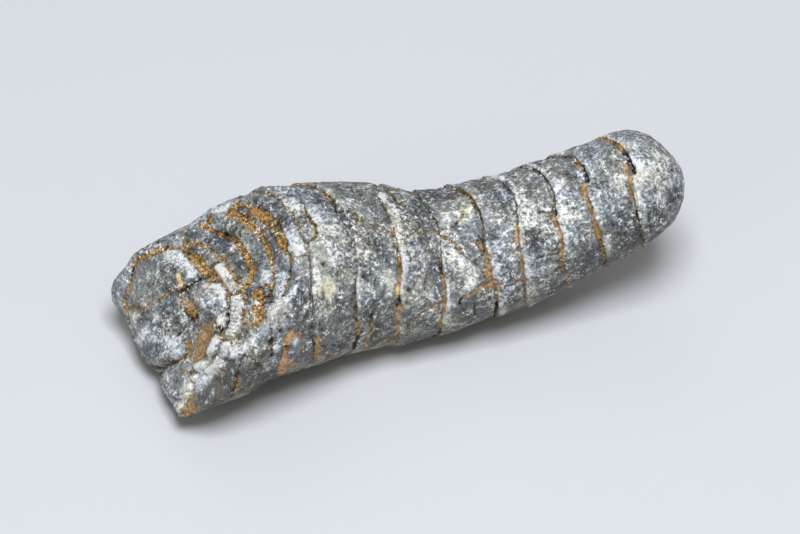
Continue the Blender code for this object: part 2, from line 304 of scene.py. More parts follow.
# Knocks and bulges that give the worn outline its character: x, y, z, radius, height.
KNOCKS = [
    (-41.8, 6.4, 6.3, 3.6, -0.33), (-41.7, 7.2, 6.9, 1.6, -0.34), (-41.5, 4.3, 5.0, 3.6, 0.25),
    (-41.4, 8.4, 7.9, 3.6, 0.11), (-41.3, 1.3, 4.7, 3.6, 0.39), (-41.0, 9.2, 9.1, 1.6, 0.23),
    (-40.8, -1.4, 3.9, 3.6, -0.69), (-40.7, -2.3, 3.9, 1.6, -0.35),
    (-40.6, 9.6, 10.0, 3.6, 0.85), (-40.2, -4.2, 3.5, 3.6, 0.17), (-40.2, 10.9, 11.0, 1.6, 0.25),
    (-39.6, 11.6, 12.2, 1.6, -0.28), (-39.5, -8.0, 4.6, 3.6, 0.06),
    (-39.2, -8.7, 5.2, 1.6, -0.24), (-39.1, 12.0, 13.1, 1.6, -0.23),
    (-39.1, 12.0, 13.1, 3.6, -0.16), (-38.7, 11.9, 14.1, 1.6, 0.52),
    (-37.8, 12.3, 15.4, 3.6, 0.63), (-37.7, -10.1, 5.2, 1.6, 0.28),
    (-36.7, -11.6, 6.4, 3.6, 0.68), (-36.4, -11.9, 6.7, 1.6, 0.23),
    (-36.0, 12.8, 16.6, 3.6, -0.36), (-34.8, -12.5, 7.4, 3.6, -0.25),
    (-32.6, -13.4, 9.0, 3.6, 0.32), (-31.3, 12.5, 19.6, 3.6, -0.06),
    (-29.7, -11.7, 7.1, 3.6, 0.65), (-29.0, 12.6, 20.6, 3.6, -0.50),
    (-27.9, 12.0, 21.6, 1.6, -0.24), (-27.1, -12.1, 8.0, 3.6, -0.29),
    (-27.0, 12.1, 22.0, 1.6, 0.27), (-26.7, 12.3, 22.0, 3.6, 0.16),
    (-24.7, -9.0, 4.7, 1.6, -0.33), (-24.4, -11.3, 7.4, 3.6, -0.72),
    (-24.3, 12.3, 22.9, 3.6, -0.43), (-21.8, 12.2, 23.8, 3.6, 0.06),
    (-21.5, -10.6, 7.3, 3.6, 0.26), (-19.5, 11.8, 24.5, 3.6, -0.52),
    (-19.2, -10.7, 8.2, 3.6, -0.47), (-18.9, -9.3, 6.2, 1.6, -0.26),
    (-16.9, 12.2, 23.8, 3.6, -0.28), (-16.3, -9.6, 7.5, 3.6, 0.25),
    (-12.9, -6.6, 4.0, 3.6, -0.10), (-12.9, 11.8, 23.3, 3.6, -0.09),
    (-11.7, -7.0, 4.4, 1.6, -0.42), (-10.0, 12.0, 22.2, 3.6, -0.25),
    (-8.7, -7.6, 5.3, 3.6, -0.32), (-7.7, 11.2, 22.2, 3.6, 0.07), (-5.0, 11.5, 20.8, 3.6, 0.28),
    (-2.1, -7.7, 5.2, 3.6, 0.06), (-0.8, 10.8, 19.7, 3.6, 0.17), (0.5, -8.1, 5.4, 3.6, 0.19),
    (1.3, 9.2, 20.2, 3.6, -0.54), (3.9, 8.7, 19.3, 3.6, -0.08), (5.7, -7.2, 4.3, 3.6, -0.12),
    (6.7, 9.0, 18.6, 3.6, 0.41), (9.8, 9.6, 17.8, 3.6, -0.38), (10.7, -8.0, 6.1, 3.6, -0.27),
    (13.3, -8.2, 7.0, 3.6, 0.10), (15.3, 8.3, 19.6, 3.6, -0.09), (15.7, -7.9, 7.2, 3.6, 0.33),
    (17.8, 6.9, 21.2, 3.6, -0.45), (19.6, -8.0, 8.5, 3.6, -0.21), (20.2, 5.5, 22.9, 3.6, 0.11),
    (21.6, 5.1, 23.6, 1.6, 0.26), (21.9, -7.8, 9.1, 3.6, 0.10), (23.5, 7.2, 21.9, 3.6, -0.27),
    (25.6, -8.3, 11.3, 3.6, -0.48), (25.9, 7.1, 22.9, 3.6, -0.19), (28.2, 6.6, 24.3, 3.6, -0.08),
    (31.1, 6.7, 24.4, 3.6, -0.30), (33.3, 5.4, 26.0, 3.6, 0.31), (33.7, -7.6, 14.0, 3.6, 0.35),
    (34.6, -8.7, 15.6, 1.6, -0.24), (36.1, -7.8, 14.8, 3.6, -0.49), (36.2, 5.6, 25.1, 3.6, 0.11),
    (38.2, -7.8, 16.6, 3.6, -0.32), (39.5, 1.6, 25.8, 3.6, -0.08),
    (39.9, -6.8, 18.3, 3.6, -0.16), (40.6, -6.0, 20.9, 3.6, 0.17),
    (41.4, -2.0, 23.3, 3.6, -0.17), (41.8, -3.3, 21.2, 3.6, -0.36),
]
ROUGHNESS = [(9.0, 0.35), (3.4, 0.28), (1.7, 0.14)]
ROUGHNESS_SHIFT = 17.0
BELLY_CUT = 0.45
MIDDLE = (-0.13, 0.63)


def chamber_relief(along, angle, lines):
    """Height of the chambers, which overlap like stacked cups."""
    height = np.zeros_like(along)
    for n, line in enumerate(lines):
        after = lines[n + 1] if n + 1 < len(lines) else np.full_like(line, TIP_POLE - TIP_MARGIN)
        f = np.clip((along - line) / (after - line), 0, 1)
        inside = (along >= line) & (along < after)
        shape = CHAMBER_STEP * (0.5 - f) + CHAMBER_SWELL * 4 * f * (1 - f)
        height += np.where(inside, shape * np.minimum(1, (1 - f) / CHAMBER_DIP), 0)
    return height * np.interp(np.abs(angle - WORN_FROM), (0, 75, 130), (1, 0.4, 0.6))


def end_relief(points, directions):
    """Height of the terraces, lumps and hollows on the broken end."""
    view = unit(*END_VIEW)
    across = np.array([-view[1], view[0], 0.0]) / math.hypot(view[0], view[1])
    upward = np.cross(view, across)
    from_centre = points - np.array(END_CENTRE)
    far = np.hypot(from_centre @ across, from_centre @ upward)
    height = np.zeros(len(points))
    for radius, step in TERRACES:
        drop = np.clip(1 - (radius - far) / TERRACE_LENGTH, 0, 1)
        height += np.where(far < radius, step * drop, 0)
    height *= np.interp(directions @ unit(*BREAKS[1][:2]), TERRACE_FADE, (0, 1))
    for x, y, z, radius, lift in LUMPS:
        away = np.linalg.norm(points - np.array([x, y, z]), axis=1)
        height += lift * np.exp(-((away / radius) ** 2))
    return height


def knock_relief(points):
    """Height of the small knocks and bulges."""
    height = np.zeros(len(points))
    for x, y, z, radius, lift in KNOCKS:
        away = np.linalg.norm(points - np.array([x, y, z]), axis=1)
        height += lift * np.exp(-((away / radius) ** 2))
    return height


def rough(points, octaves, shift):
    """Height of noise made of several wavelengths at each point."""
    heights = np.zeros(len(points))
    for n, (wavelength, height) in enumerate(octaves):
        spot = points / wavelength + shift * n
        heights += [height * noise.noise(Vector(p)) for p in spot]
    return heights


def settle(points):
    """Points lowered on to the worn flat belly and centred over the origin."""
    settled = points - np.array([MIDDLE[0], MIDDLE[1], BELLY_CUT])
    settled[:, 2] = np.maximum(settled[:, 2], 0)
    return settled


lines = np.array([seam_at(n, angle) for n in range(len(SEAMS))])
height = chamber_relief(along, angle, lines) + end_relief(plain, direction)
height += rough(plain, ROUGHNESS, ROUGHNESS_SHIFT) + knock_relief(plain)
body = root + (length + height)[:, None] * direction
for vert, place in zip(skin.verts, settle(body)):
    vert.co = Vector(place)
bmesh.ops.recalc_face_normals(skin, faces=skin.faces)
skin.normal_update()
normals = np.array([v.normal for v in skin.verts])
body = settle(body)
print("relief, mm:", round(height.min(), 2), "to", round(height.max(), 2))

# %% [markdown]
# ## A drawing of the markings
# The cracks, fillings and layers are particular to this stone, so they are drawn, as a
# restorer would draw them: as lines and outlines on a flat sheet held square to one direction.
# Lines are then dropped on to the stone, and from there all distances are real ones, so a
# crack keeps its width however the skin turns.

# %% The drawing sheet
# The sheet faces this azimuth and elevation, and its own zero lies over this point.
SHEET_AZIMUTH, SHEET_ELEVATION = -17.0, 48.5
SHEET_ZERO = np.array([1.93, 10.56, -0.35])
sheet_turn, sheet_tilt = math.radians(SHEET_AZIMUTH), math.radians(SHEET_ELEVATION)
SHEET_OUT = np.array([
    math.sin(sheet_turn) * math.cos(sheet_tilt),
    -math.cos(sheet_turn) * math.cos(sheet_tilt),
    math.sin(sheet_tilt),
])
SHEET_ACROSS = np.array([math.cos(sheet_turn), math.sin(sheet_turn), 0.0])
SHEET_UP = np.cross(SHEET_OUT, SHEET_ACROSS)

sheet = np.stack([(body - SHEET_ZERO) @ SHEET_ACROSS, (body - SHEET_ZERO) @ SHEET_UP], axis=1)
facing = normals @ SHEET_OUT
FACING_FADE = (0.08, 0.3)
seen = np.clip((facing - FACING_FADE[0]) / (FACING_FADE[1] - FACING_FADE[0]), 0, 1)
finder = kdtree.KDTree(int((facing > 0).sum()))
for index in np.flatnonzero(facing > 0):
    finder.insert((sheet[index, 0], sheet[index, 1], 0.0), int(index))
finder.balance()


def drop(points):
    """Places on the stone under these points of the sheet."""
    return np.array([body[finder.find((u, v, 0.0))[1]] for u, v in points])


print("points that face the sheet:", int((facing > 0).sum()))

# %% Cracks and their fillings
# Width in mm, filling, depth in mm, and the line on the sheet. Fillings: 0 is an open gap,
# painted near black as the shade in it, 0.25 brown, 0.5 ochre, 0.75 gold, 0.9 dull clay,
# 1 clay, 1.2 pink clay, 1.5 pale clay.
CRACKS = [
    (.33, .5, .15, [(-22, 11.2), (-20.6, 11.2), (-19.3, 10.7), (-18.3, 10.3), (-17.2, 9.3),
        (-16.3, 8.4), (-15.5, 7.4), (-15.1, 6.5), (-14.8, 5.2)]),
    (.24, .3, .12, [(-14.8, 5.2), (-14.3, 4), (-13.9, 2.8)]),
    (.48, .4, .2, [(-14.4, 9), (-13.6, 7.5), (-13.2, 6.8), (-12.6, 5.9), (-12.5, 4.9), (-12.8, 4)]),
    (.75, .62, .2, [(-23.1, 9.5), (-22.3, 8.9), (-21.7, 8.5)]),
    (1.80, .6, .4, [(-21.6, 8.3), (-20.5, 7.6), (-19.4, 6.7), (-18.5, 5.6)]),
    (1.50, .58, .4, [(-18.5, 5.6), (-17.8, 4.4), (-17.1, 3.1)]),
    (.60, .4, .22, [(-17.1, 3.1), (-16.5, 2.2), (-16.2, 1)]),
    (.39, .35, .2, [(-16.2, 1), (-16.2, -0.1), (-16.3, -1.3), (-16.8, -2.9), (-17.2, -4.3)]),
    (1.20, .6, .2, [(-25.5, 7.9), (-24.6, 7.6), (-23.5, 7.1), (-22.1, 6.1)]),
    (.90, .58, .2, [(-22.1, 6.1), (-21.1, 5), (-20.2, 4)]),
    (.75, .52, .2, [(-20.2, 4), (-19.4, 2.5), (-18.9, 0.9)]),
    (.36, .5, .18, [(-19.2, 1.5), (-18.9, 0.1), (-18.7, -1.2), (-18.7, -2.8), (-19.1, -4.4)]),
    (1.05, .6, .15, [(-24.2, 9.4), (-24.6, 8.6), (-25.2, 7.9)]),
    (.51, .52, .15, [(-18.7, -2.5), (-19.8, -2.8), (-20.7, -3.4), (-21.1, -4)]),
    (1.05, .58, .4, [(-24.4, 4), (-23.6, 3), (-22.8, 1.6)]),
    (.90, .6, .35, [(-22, -0.7), (-22.2, -1.8), (-22.8, -2.8)]),
    (.75, .58, .3, [(-29.9, 6.1), (-28.8, 5.8), (-27.7, 5.5)]),
    (.60, .45, .35, [(-27.7, 5.5), (-26.5, 4.8), (-25.3, 4.3), (-24.1, 3.7)]),
    (.39, .72, .18, [(-31.3, 3.9), (-30.1, 3.6), (-28.9, 3), (-27.7, 2.2)]),
    (.45, .68, .18, [(-27.7, 2.2), (-26.4, 1), (-25, -0.6), (-23.7, -2.4)]),
    (.33, .7, .15, [(-23.7, -2.4), (-23.2, -3.7), (-23, -5.3), (-23, -7.1), (-23.1, -8.5)]),
    (.24, .7, .12, [(-23.1, -8.5), (-23.7, -10.3), (-24.7, -11.9)]),
    (.54, .56, .18, [(-31.6, 3.9), (-31.9, 3), (-32.2, 2.2)]),
    (.48, .56, .18, [(-26.4, 1), (-27.2, 0.4), (-27.9, -0.1)]),
    (.54, .55, .18, [(-23.6, -2.5), (-23.5, -3.4), (-24.4, -4), (-25.4, -4.6)]),
    (.33, .6, .14, [(-26.2, -10.8), (-25, -10.7), (-24, -10.7)]),
    (.30, .6, .12, [(-24.6, 2.2), (-25.4, 1.8), (-26.3, 1.2)]),
    (1.50, .62, .35, [(-31.6, 2.2), (-30.5, 1.3), (-29.6, 0.3)]),
    (1.65, .62, .4, [(-29.6, 0.3), (-28.8, -0.7), (-27.9, -1.6)]),
    (.37, .7, .12, [(-33.9, 2.8), (-32.7, 2.8), (-31.5, 2.2)]),
    (.36, .66, .2, [(-27.8, -0.4), (-26.5, -2.1), (-25.6, -3.4), (-25.4, -4.9), (-25.6, -6.1)]),
    (.54, 0, .8, [(-25.3, -7.2), (-25.2, -8), (-25.4, -8.7)]),
    (.45, .05, .6, [(-26.1, -9), (-26.7, -9.7)]),
    (.75, .78, .1, [(-26.1, -9.6), (-26.2, -10.5)]),
    (.27, .25, .3, [(-26.2, -10.8), (-27.1, -12.5), (-27.6, -13.7), (-28.2, -14.5)]),
    (.21, .25, .3, [(-25, -12.2), (-25.3, -13.4), (-26.2, -14.3)]),
    (.75, .58, .18, [(-39.7, 0.8), (-38.7, 1.4), (-37.5, 1.9), (-35.9, 2.5), (-34.7, 3)]),
    (.42, .7, .2, [(-39.7, 0.8), (-40, -0.5), (-40.4, -1.8), (-40.7, -3.2), (-41.2, -4.5),
        (-41.5, -5.7)]),
    (.45, .02, .5, [(-40.3, -0.2), (-40.4, -1.5)]),
    (.36, .7, .18, [(-41.5, -5.7), (-41.1, -6.8), (-40.9, -8.3)]),
    (.36, .7, .3, [(-41.4, -6), (-39.8, -6), (-38.9, -6.5), (-37.4, -5.5), (-35.9, -4.9),
        (-34.6, -4), (-34, -3.4)]),
    (.42, .5, .6, [(-37.8, -15.7), (-36.8, -15.1), (-35.9, -15.3), (-34.6, -14.5), (-32.7, -14),
        (-32, -13.1), (-31.5, -12)]),
    (.75, .88, .15, [(-31.6, -11.1), (-31.2, -12.3), (-31.3, -13.4)]),
    (.36, .42, .25, [(-32.4, -15.2), (-31.3, -15.7), (-30.1, -15.4)]),
    (.39, .55, .15, [(-32.3, 4), (-32.3, 4.6), (-31.9, 5.7)]),
    (.24, .6, .1, [(-37.9, 2.1), (-37.8, 3)]),
    (.22, .6, .1, [(-36.4, 2.7), (-36.7, 3.4)]),
    (.82, 1.5, .1, [(-33.1, -1.2), (-32.8, -2.2), (-32.8, -3.6)]),
    (.36, .03, .5, [(-33.1, -3.7), (-32.5, -3.6), (-31.9, -3.1)]),
    (.27, .06, .4, [(-31.9, -3.1), (-31.1, -2.7), (-30.3, -2.1), (-29.7, -1.6)]),
    (.24, .2, .2, [(-35, 1), (-34.2, 0.1), (-33.6, -0.7)]),
    (.24, .3, .2, [(-34.8, 0.7), (-34.2, -0.1), (-33.7, -1.2)]),
    (1.05, .95, .12, [(-32, -5.2), (-31.2, -5.8)]),
    (.24, .2, .15, [(-32.2, -5.8), (-31.7, -7.4), (-30.9, -7.9)]),
    (.24, .3, .2, [(-32.1, -8.2), (-32.3, -9.4), (-33, -10)]),
    (3.14, .86, .15, [(-28.4, -9.8), (-28.9, -10.8), (-29.3, -11.8)]),
    (2.09, .86, .15, [(-29.3, -11.8), (-29.9, -13.2)]),
    (1.80, .62, .12, [(-21.1, -3.8), (-20.8, -4.9), (-20.9, -6)]),
    (1.35, .6, .12, [(-20.9, -6), (-20.7, -7.1), (-21, -7.9)]),
    (.75, .6, .15, [(-28.2, 7.2), (-28.7, 6.3)]),
    (.18, .1, .25, [(-20.2, -4), (-19, -3.5)]),
    (.18, .1, .25, [(-20.2, -4.7), (-18.8, -4.3)]),
    (.18, .1, .25, [(-20.2, -5.4), (-18.8, -5.1)]),
    (.45, .86, .2, [(-30.5, -18.8), (-31, -20)]),
    (1.20, .88, .2, [(-31, -20), (-31.3, -21.1), (-31.9, -22)]),
    (.60, .9, .2, [(-31, -20.8), (-30.2, -21)]),
    (.27, .9, .15, [(-26.5, -15.3), (-26.2, -16.3), (-26.7, -18.1), (-27, -19.8)]),
    (.30, 0.2, 0.3, [(-23.3, -12.8), (-23.5, -14.1), (-23.9, -15.4), (-23.8, -16.3)]),
    (.75, .87, .2, [(-23.5, -16.6), (-23.9, -17.8), (-24.2, -18.9)]),
    (.21, 0.12, .3, [(-24.1, -16.3), (-24.3, -18.1), (-24.8, -19.9)]),
    (.30, .35, .2, [(-23.3, -12.8), (-22, -13.3), (-20.9, -14.3), (-20, -15)]),
    (.30, .25, .25, [(-19.1, -8.4), (-18.8, -9.5), (-18.8, -11)]),
    (.36, .2, .25, [(-18.8, -11), (-18.9, -12.2), (-18.8, -13.1)]),
    (1.35, 1.24, .25, [(-16, -9.7), (-16.3, -10.6), (-16.8, -11.5)]),
    (.60, 1.1, .2, [(-16, -10), (-15, -9.9)]),
    (.37, .05, .5, [(-16.8, -11.9), (-16.6, -12.5)]),
    (.75, 1.12, .25, [(-16.8, -12.2), (-17.1, -13.1), (-16.8, -13.9)]),
    (.67, 1.05, .2, [(-16.8, -14.5), (-16, -14.5), (-15.1, -14.4)]),
    (.30, .9, .2, [(-14.2, -11.4), (-14.3, -12.6)]),
    (1.12, 0.82, .2, [(-12.1, -11.4), (-12.4, -12.6), (-12.3, -13.5)]),
    (.60, 1.05, .2, [(-12.3, -13.5), (-11.3, -13.4), (-10.4, -12.9)]),
    (.22, 0.5, .3, [(-13.2, -10.2), (-12.3, -10.6), (-11.8, -11.2)]),
    (.30, .5, .15, [(-17.2, -6.8), (-16.6, -7.3), (-16, -7.9)]),
    (.27, .55, .12, [(-16.1, 1.5), (-14.9, 1.6), (-13.7, 1.8)]),
    (.24, .5, .12, [(-9.2, 8.2), (-7.4, 8.3), (-6.7, 7.9), (-5.8, 7), (-4.5, 6.5), (-3.1, 6.1),
        (-1.9, 5.5), (-1, 4.8)]),
    (.33, .4, .12, [(-8.8, 10.6), (-8, 10)]),
    (.39, .5, .1, [(-6.5, 7.9), (-6.2, 7), (-6.4, 6.1)]),
    (.27, .5, .12, [(-7.1, 5.5), (-6.4, 5), (-5.6, 4.9), (-5.3, 5.5)]),
    (.45, .4, .08, [(-1.8, 11.5), (-1.2, 10.6), (-0.4, 9.5), (0.6, 9.1)]),
    (.27, .35, .14, [(3, 9.1), (2.7, 8.4), (2.2, 7.6), (2.7, 6.4), (2.8, 5.2)]),
    (.24, .45, .12, [(0.4, 4.2), (1.2, 4.6), (2.1, 5.1), (3, 5.1), (4.3, 4.9), (5.4, 5.1)]),
    (.22, .5, .1, [(-1.8, 7.1), (-0.6, 7.1), (0.3, 6.7), (1.2, 5.8)]),
    (.28, .5, .13, [(0.7, 3.6), (1.2, 2.4), (1.6, 0.7)]),
    (.30, .5, .12, [(6, 5.7), (7.3, 5.7), (8.2, 6.1), (8.9, 7), (9.4, 8.1), (8.8, 8.7)]),
    (.39, .52, .15, [(6.1, 4.6), (7.1, 4.2), (8.2, 3.3), (9.1, 2.2)]),
    (.19, .3, .15, [(9.1, 2.2), (10.1, 1.3), (11.3, 0.4), (12.1, -0.4), (13, -1.9)]),
    (.27, .15, .22, [(11, 0.7), (11.9, 1.3), (12.4, 2.2), (12.2, 3.4), (11.8, 4.6)]),
    (.82, .88, .2, [(14, -2.5), (13, -2.7), (12.1, -3)]),
    (.54, .86, .2, [(12.1, -3), (11.2, -3.7), (10.1, -4.3), (9.5, -4.5)]),
    (.33, .05, .4, [(9.5, -4.5), (9.1, -5.1), (8.8, -5.5)]),
    (.24, .2, .2, [(11.2, -4.3), (11.2, -5.7), (11.2, -7.2)]),
    (.30, .88, .16, [(6.4, -5.4), (5.4, -5.7), (4.5, -6.3), (3.6, -6.7)]),
    (.27, .82, .16, [(3.6, -6.7), (2.7, -7.5), (1.9, -8.1), (1.5, -8.8), (1.2, -9.7)]),
    (.22, .66, .1, [(4, -1.3), (3.7, -2.5), (3.7, -3.7), (4.2, -4.9)]),
    (.33, .9, .12, [(-0.6, -10.3), (-1.8, -10.5), (-3, -10.6)]),
    (.39, .9, .15, [(-0.4, -10.6), (-0.9, -11.6)]),
    (.33, .2, .3, [(-4.2, -7), (-4.2, -8), (-4.5, -8.6)]),
    (.45, .9, .2, [(-4, -8.5), (-3.9, -9.5), (-4.3, -10.1)]),
    (.75, .98, .2, [(-4.6, -10.3), (-4.9, -11), (-5.2, -11.6)]),
    (.45, .9, .15, [(-5.2, -11.6), (-5.7, -12.4)]),
    (.51, .12, .3, [(-5.6, -9.8), (-6.3, -10.6), (-6.6, -11.5), (-6.9, -12.4)]),
    (.25, .52, .12, [(5.7, 10.6), (6.6, 10.3), (7.8, 10.5), (8.6, 11.4)]),
    (.24, .5, .12, [(8.6, 11.4), (8.1, 10.3), (7.8, 10.2)]),
    (.27, .4, .12, [(11.1, 12.3), (11.7, 11.8), (12.3, 11.2), (12.9, 11.1)]),
    (.24, .35, .15, [(15.7, -3), (16.6, -2.8), (17.5, -2.4), (18.4, -2.2)]),
    (.36, .95, .1, [(17.2, -2.4), (18.4, -2.1)]),
    (.22, .25, .15, [(20.6, 1.2), (21.8, 1.5), (23, 1.8), (23.9, 2.1)]),
    (.19, .3, .12, [(20.5, 8), (21.6, 8.2), (22.8, 8)]),
    (.39, .85, .2, [(1.6, -3.6), (1.6, -4.3)]),
    (.21, .2, .15, [(0.9, -5.2), (1.2, -5.7)]),
    (.21, .15, .12, [(14.9, 9.7), (15.7, 9.5)]),
    (.19, .3, .1, [(21.5, 10.4), (21.4, 9.2)]),
    (.24, .45, .12, [(-0.7, 6.7), (-0.4, 5.3), (0.4, 4.9)]),
    (.24, .2, .2, [(-3.7, -6.2), (-3, -5.6)]),
    (.24, .3, .14, [(-11.9, -8.1), (-11.5, -9)]),
    (.24, .15, .2, [(-11.5, -11.4), (-10.8, -12)]),
    (.51, 0.56, .3, [(30.1, 19.4), (30.9, 19.2), (31.7, 18.7), (32.6, 18.1), (33.3, 17.3)]),
    (.58, .05, .7, [(33.3, 17.3), (33.9, 16.6), (34.3, 15.8), (34.7, 14.9), (34.8, 14.1)]),
    (.82, 1.0, .25, [(33.4, 14.9), (33.8, 14.1), (34.1, 13.4), (34.1, 12.4)]),
    (.39, .9, .3, [(34.1, 12.4), (34.2, 11.5), (34.5, 10.4), (34.8, 9.1), (35, 8.3)]),
    (.42, .12, .5, [(35, 8.3), (35.2, 7.6), (35.5, 6.7)]),
    (.33, .4, .3, [(35.5, 6.7), (35.9, 5.5), (36.1, 4.6), (36.5, 3.5)]),
    (.33, .5, .3, [(23.7, 16.7), (24.9, 16.6), (25.9, 16.2)]),
    (.54, .6, .3, [(25.9, 16.2), (26.6, 15.5), (27, 14.9)]),
    (.63, .03, .8, [(27.2, 14.9), (27.6, 13.9), (28, 12.8)]),
    (1.20, .95, .2, [(27.6, 11.9), (27.6, 11)]),
    (.63, .96, .25, [(27.6, 10.6), (28, 9.5), (28.6, 8.3), (28.9, 7.1), (29.1, 6.3)]),
    (.90, .9, .2, [(29.1, 6.3), (29.5, 5.2), (29.8, 4.5)]),
    (.39, .6, .3, [(29.8, 4.5), (30, 3.3), (30.4, 2.1), (30.8, 0.6)]),
    (.33, .42, .3, [(18.2, 14.9), (19.5, 14.7), (20.4, 14.4)]),
    (.39, .3, .35, [(20.4, 14.4), (21.4, 13.5), (22.1, 12.4), (22.7, 11.3), (22.9, 10.1),
        (22.9, 8.9)]),
    (.45, .05, .5, [(22.9, 8.9), (23.1, 8.2), (23.1, 7.4)]),
    (.69, .97, .25, [(22.8, 7.6), (23.1, 6.7), (23.7, 5.5), (24, 4.5)]),
    (.60, .95, .25, [(24, 4.5), (24, 3.1), (24, 1.6)]),
    (.33, .6, .3, [(24, 1.6), (24.2, 0.4), (24.5, -0.7), (25, -2.6)]),
    (.27, .35, .25, [(13.1, 13.3), (14.3, 13.1), (15.3, 12.6)]),
    (.30, .28, .3, [(15.3, 12.6), (16.1, 11.7), (16.9, 10.4), (17.3, 9.1), (17.4, 7.8),
        (17.4, 6.3)]),
    (.69, .98, .25, [(17.4, 5.8), (17.3, 5.1), (17.4, 4)]),
    (.42, .9, .25, [(17.4, 4), (17.9, 2.5), (18, 1.3), (18.3, -0.1), (18.5, -1.5)]),
    (.45, .85, .25, [(18.5, -1.5), (18.5, -2.4)]),
    (.27, .35, .3, [(18.5, -2.4), (18.7, -3.9), (18.8, -5.4)]),
    (.45, .45, .3, [(8.3, 11.6), (9.3, 11.2), (10.2, 10.8), (10.8, 10), (11.1, 9.3)]),
    (.54, .3, .35, [(11.1, 9.3), (11.8, 8.1), (12.1, 7)]),
    (.39, .42, .3, [(12.1, 7), (12.4, 5.5), (12.4, 3.6)]),
    (.75, .92, .25, [(11.9, 3.4), (12.5, 2.8), (13, 1.6), (13.1, 0.4)]),
    (1.12, .95, .25, [(13, 0.7), (13.3, -0.7), (13.7, -2.1), (14.3, -3)]),
    (.39, .5, .3, [(14.3, -3), (14.4, -4.3), (14.5, -5.5)]),
    (.36, 0.05, 0.6, [(14.4, -5.5), (14.4, -6.5), (14.2, -7.4)]),
    (.27, .5, .12, [(1.2, 11.6), (2.4, 10.5), (3.6, 9.3), (4.6, 7.9), (5.5, 6.4)]),
    (.27, .5, .12, [(5.5, 6.4), (5.8, 4.9), (6, 3), (6.1, 1.3)]),
    (.30, .3, .3, [(6.1, 1.3), (6.1, -0.1), (6.3, -1.2)]),
    (.54, .9, .25, [(6.3, -1.2), (6.6, -2.7), (6.7, -4.2), (6.7, -5.8)]),
    (.42, .85, .25, [(6.7, -5.8), (6.4, -7), (6.1, -8.4), (6.1, -9.4)]),
    (.36, .1, .4, [(6.1, -9.4), (5.9, -10.1)]),
    (.24, .4, .2, [(-4.2, 11.5), (-3.1, 10), (-2.4, 8.6)]),
    (.33, .5, .15, [(-2.4, 8.6), (-1.9, 7.7), (-1.5, 6.7), (-1.2, 5.5)]),
    (.30, .6, .2, [(-1.2, 5.5), (-0.7, 4), (-0.4, 2.5), (-0.1, 1.3)]),
    (.51, .62, .3, [(-0.1, 1.3), (0, -0.1), (0, -1.5), (-0.1, -2.4)]),
    (.66, 1.4, .25, [(-0.3, -3), (-0.3, -4)]),
    (.40, .02, .8, [(-0.1, -4.5), (-0.1, -5.4), (-0.3, -6)]),
    (.66, .95, .25, [(-0.1, -5.8), (-0.3, -6.9), (-0.4, -8.1), (-0.3, -9.1)]),
    (.60, .92, .25, [(-0.3, -9.1), (-0.6, -10.2)]),
    (.42, .85, .25, [(-0.6, -11), (-0.8, -12)]),
    (.51, .52, .3, [(-15, 12.3), (-13.6, 12.1), (-12.2, 11.5), (-11, 10.6), (-10.1, 9.7)]),
    (.39, .2, .35, [(-10.1, 9.7), (-9.6, 8.9), (-9.2, 8)]),
    (.21, .4, .1, [(-9.2, 8), (-8.4, 6.7), (-7.8, 5.8), (-7.4, 4.6)]),
    (.21, .35, .15, [(-7.4, 4.6), (-6.7, 2.8), (-6.5, 0.7), (-6.5, -1.2)]),
    (.30, .2, .35, [(-6.5, -1.8), (-6.7, -3.4), (-6.7, -4.9)]),
    (.33, .55, .3, [(-6.7, -4.9), (-6.5, -6.7), (-6.4, -8.2)]),
    (.45, .7, .25, [(-6.4, -8.2), (-6.2, -9.4), (-6.1, -10.3)]),
    (.45, .15, .3, [(-6.1, -10.3), (-6.6, -11.3), (-6.9, -12.4)]),
    (.24, .5, .15, [(-13.7, 3.7), (-13.4, 1.8)]),
    (.27, .15, .25, [(-13.4, 1.6), (-13.4, 0.3), (-13.2, -1.6)]),
    (.24, .2, .3, [(-13.2, -1.6), (-13.1, -3.4), (-12.9, -5.1)]),
    (.24, .5, .25, [(-12.9, -5.1), (-12.8, -7.4), (-13.2, -10)]),
    (.27, .3, .3, [(-13.2, -10), (-12.6, -11.5), (-12.9, -13.8)]),
    (.19, .25, .3, [(-27.1, -6.5), (-27.3, -7.7), (-27.2, -9), (-26.7, -9.7)]),
    (.24, .2, .25, [(-27.6, -10.8), (-28.5, -12.3), (-29, -13.3)]),
    (.24, .3, .3, [(-27.4, -13.4), (-28.2, -14.3), (-28.5, -15.2), (-28.4, -16)]),
    (.21, .25, .3, [(-31.3, -16), (-30.5, -17.3), (-30.7, -18.2)]),
    (.21, .22, .3, [(-27.1, -12.8), (-26.5, -13.3), (-25.2, -13.8)]),
    (.21, .25, .25, [(-31.6, -18.6), (-30.5, -18.5), (-29.8, -17.9)]),
    (.30, .15, .3, [(-31.9, -4.3), (-31.6, -3.7), (-31.3, -3.4)]),
    (.19, .3, .2, [(-30.9, -5.5), (-30.6, -6.5), (-30.1, -7.4)]),
    (.24, .2, .3, [(-27.8, -9.9), (-27.3, -9.5), (-26.7, -9.9), (-26.4, -10.3)]),
    (.19, .2, .12, [(38, 11.2), (38.7, 11.9), (39.4, 13), (40.3, 13.3)]),
    (.18, .2, .1, [(39.3, 12.4), (40, 11.5), (40.6, 11)]),
    (.19, .22, .12, [(40, 9.3), (40.9, 10), (41.9, 10.9)]),
    (.16, .3, .08, [(36.1, 10.6), (36.9, 9.8), (37.7, 9.5)]),
    (.24, .15, .25, [(-30.8, -18.8), (-31.5, -20), (-32.2, -21.5)]),
    (1.05, .88, .12, [(-31.1, -5.4), (-30.3, -6.2)]),
    (.27, .12, .12, [(-31.8, -6.1), (-31.2, -6.5)]),
    (.27, .15, .25, [(-20.4, 8.6), (-19.5, 8)]),
    (1.05, .6, .12, [(-31.5, -6.2), (-30.6, -6.8)]),
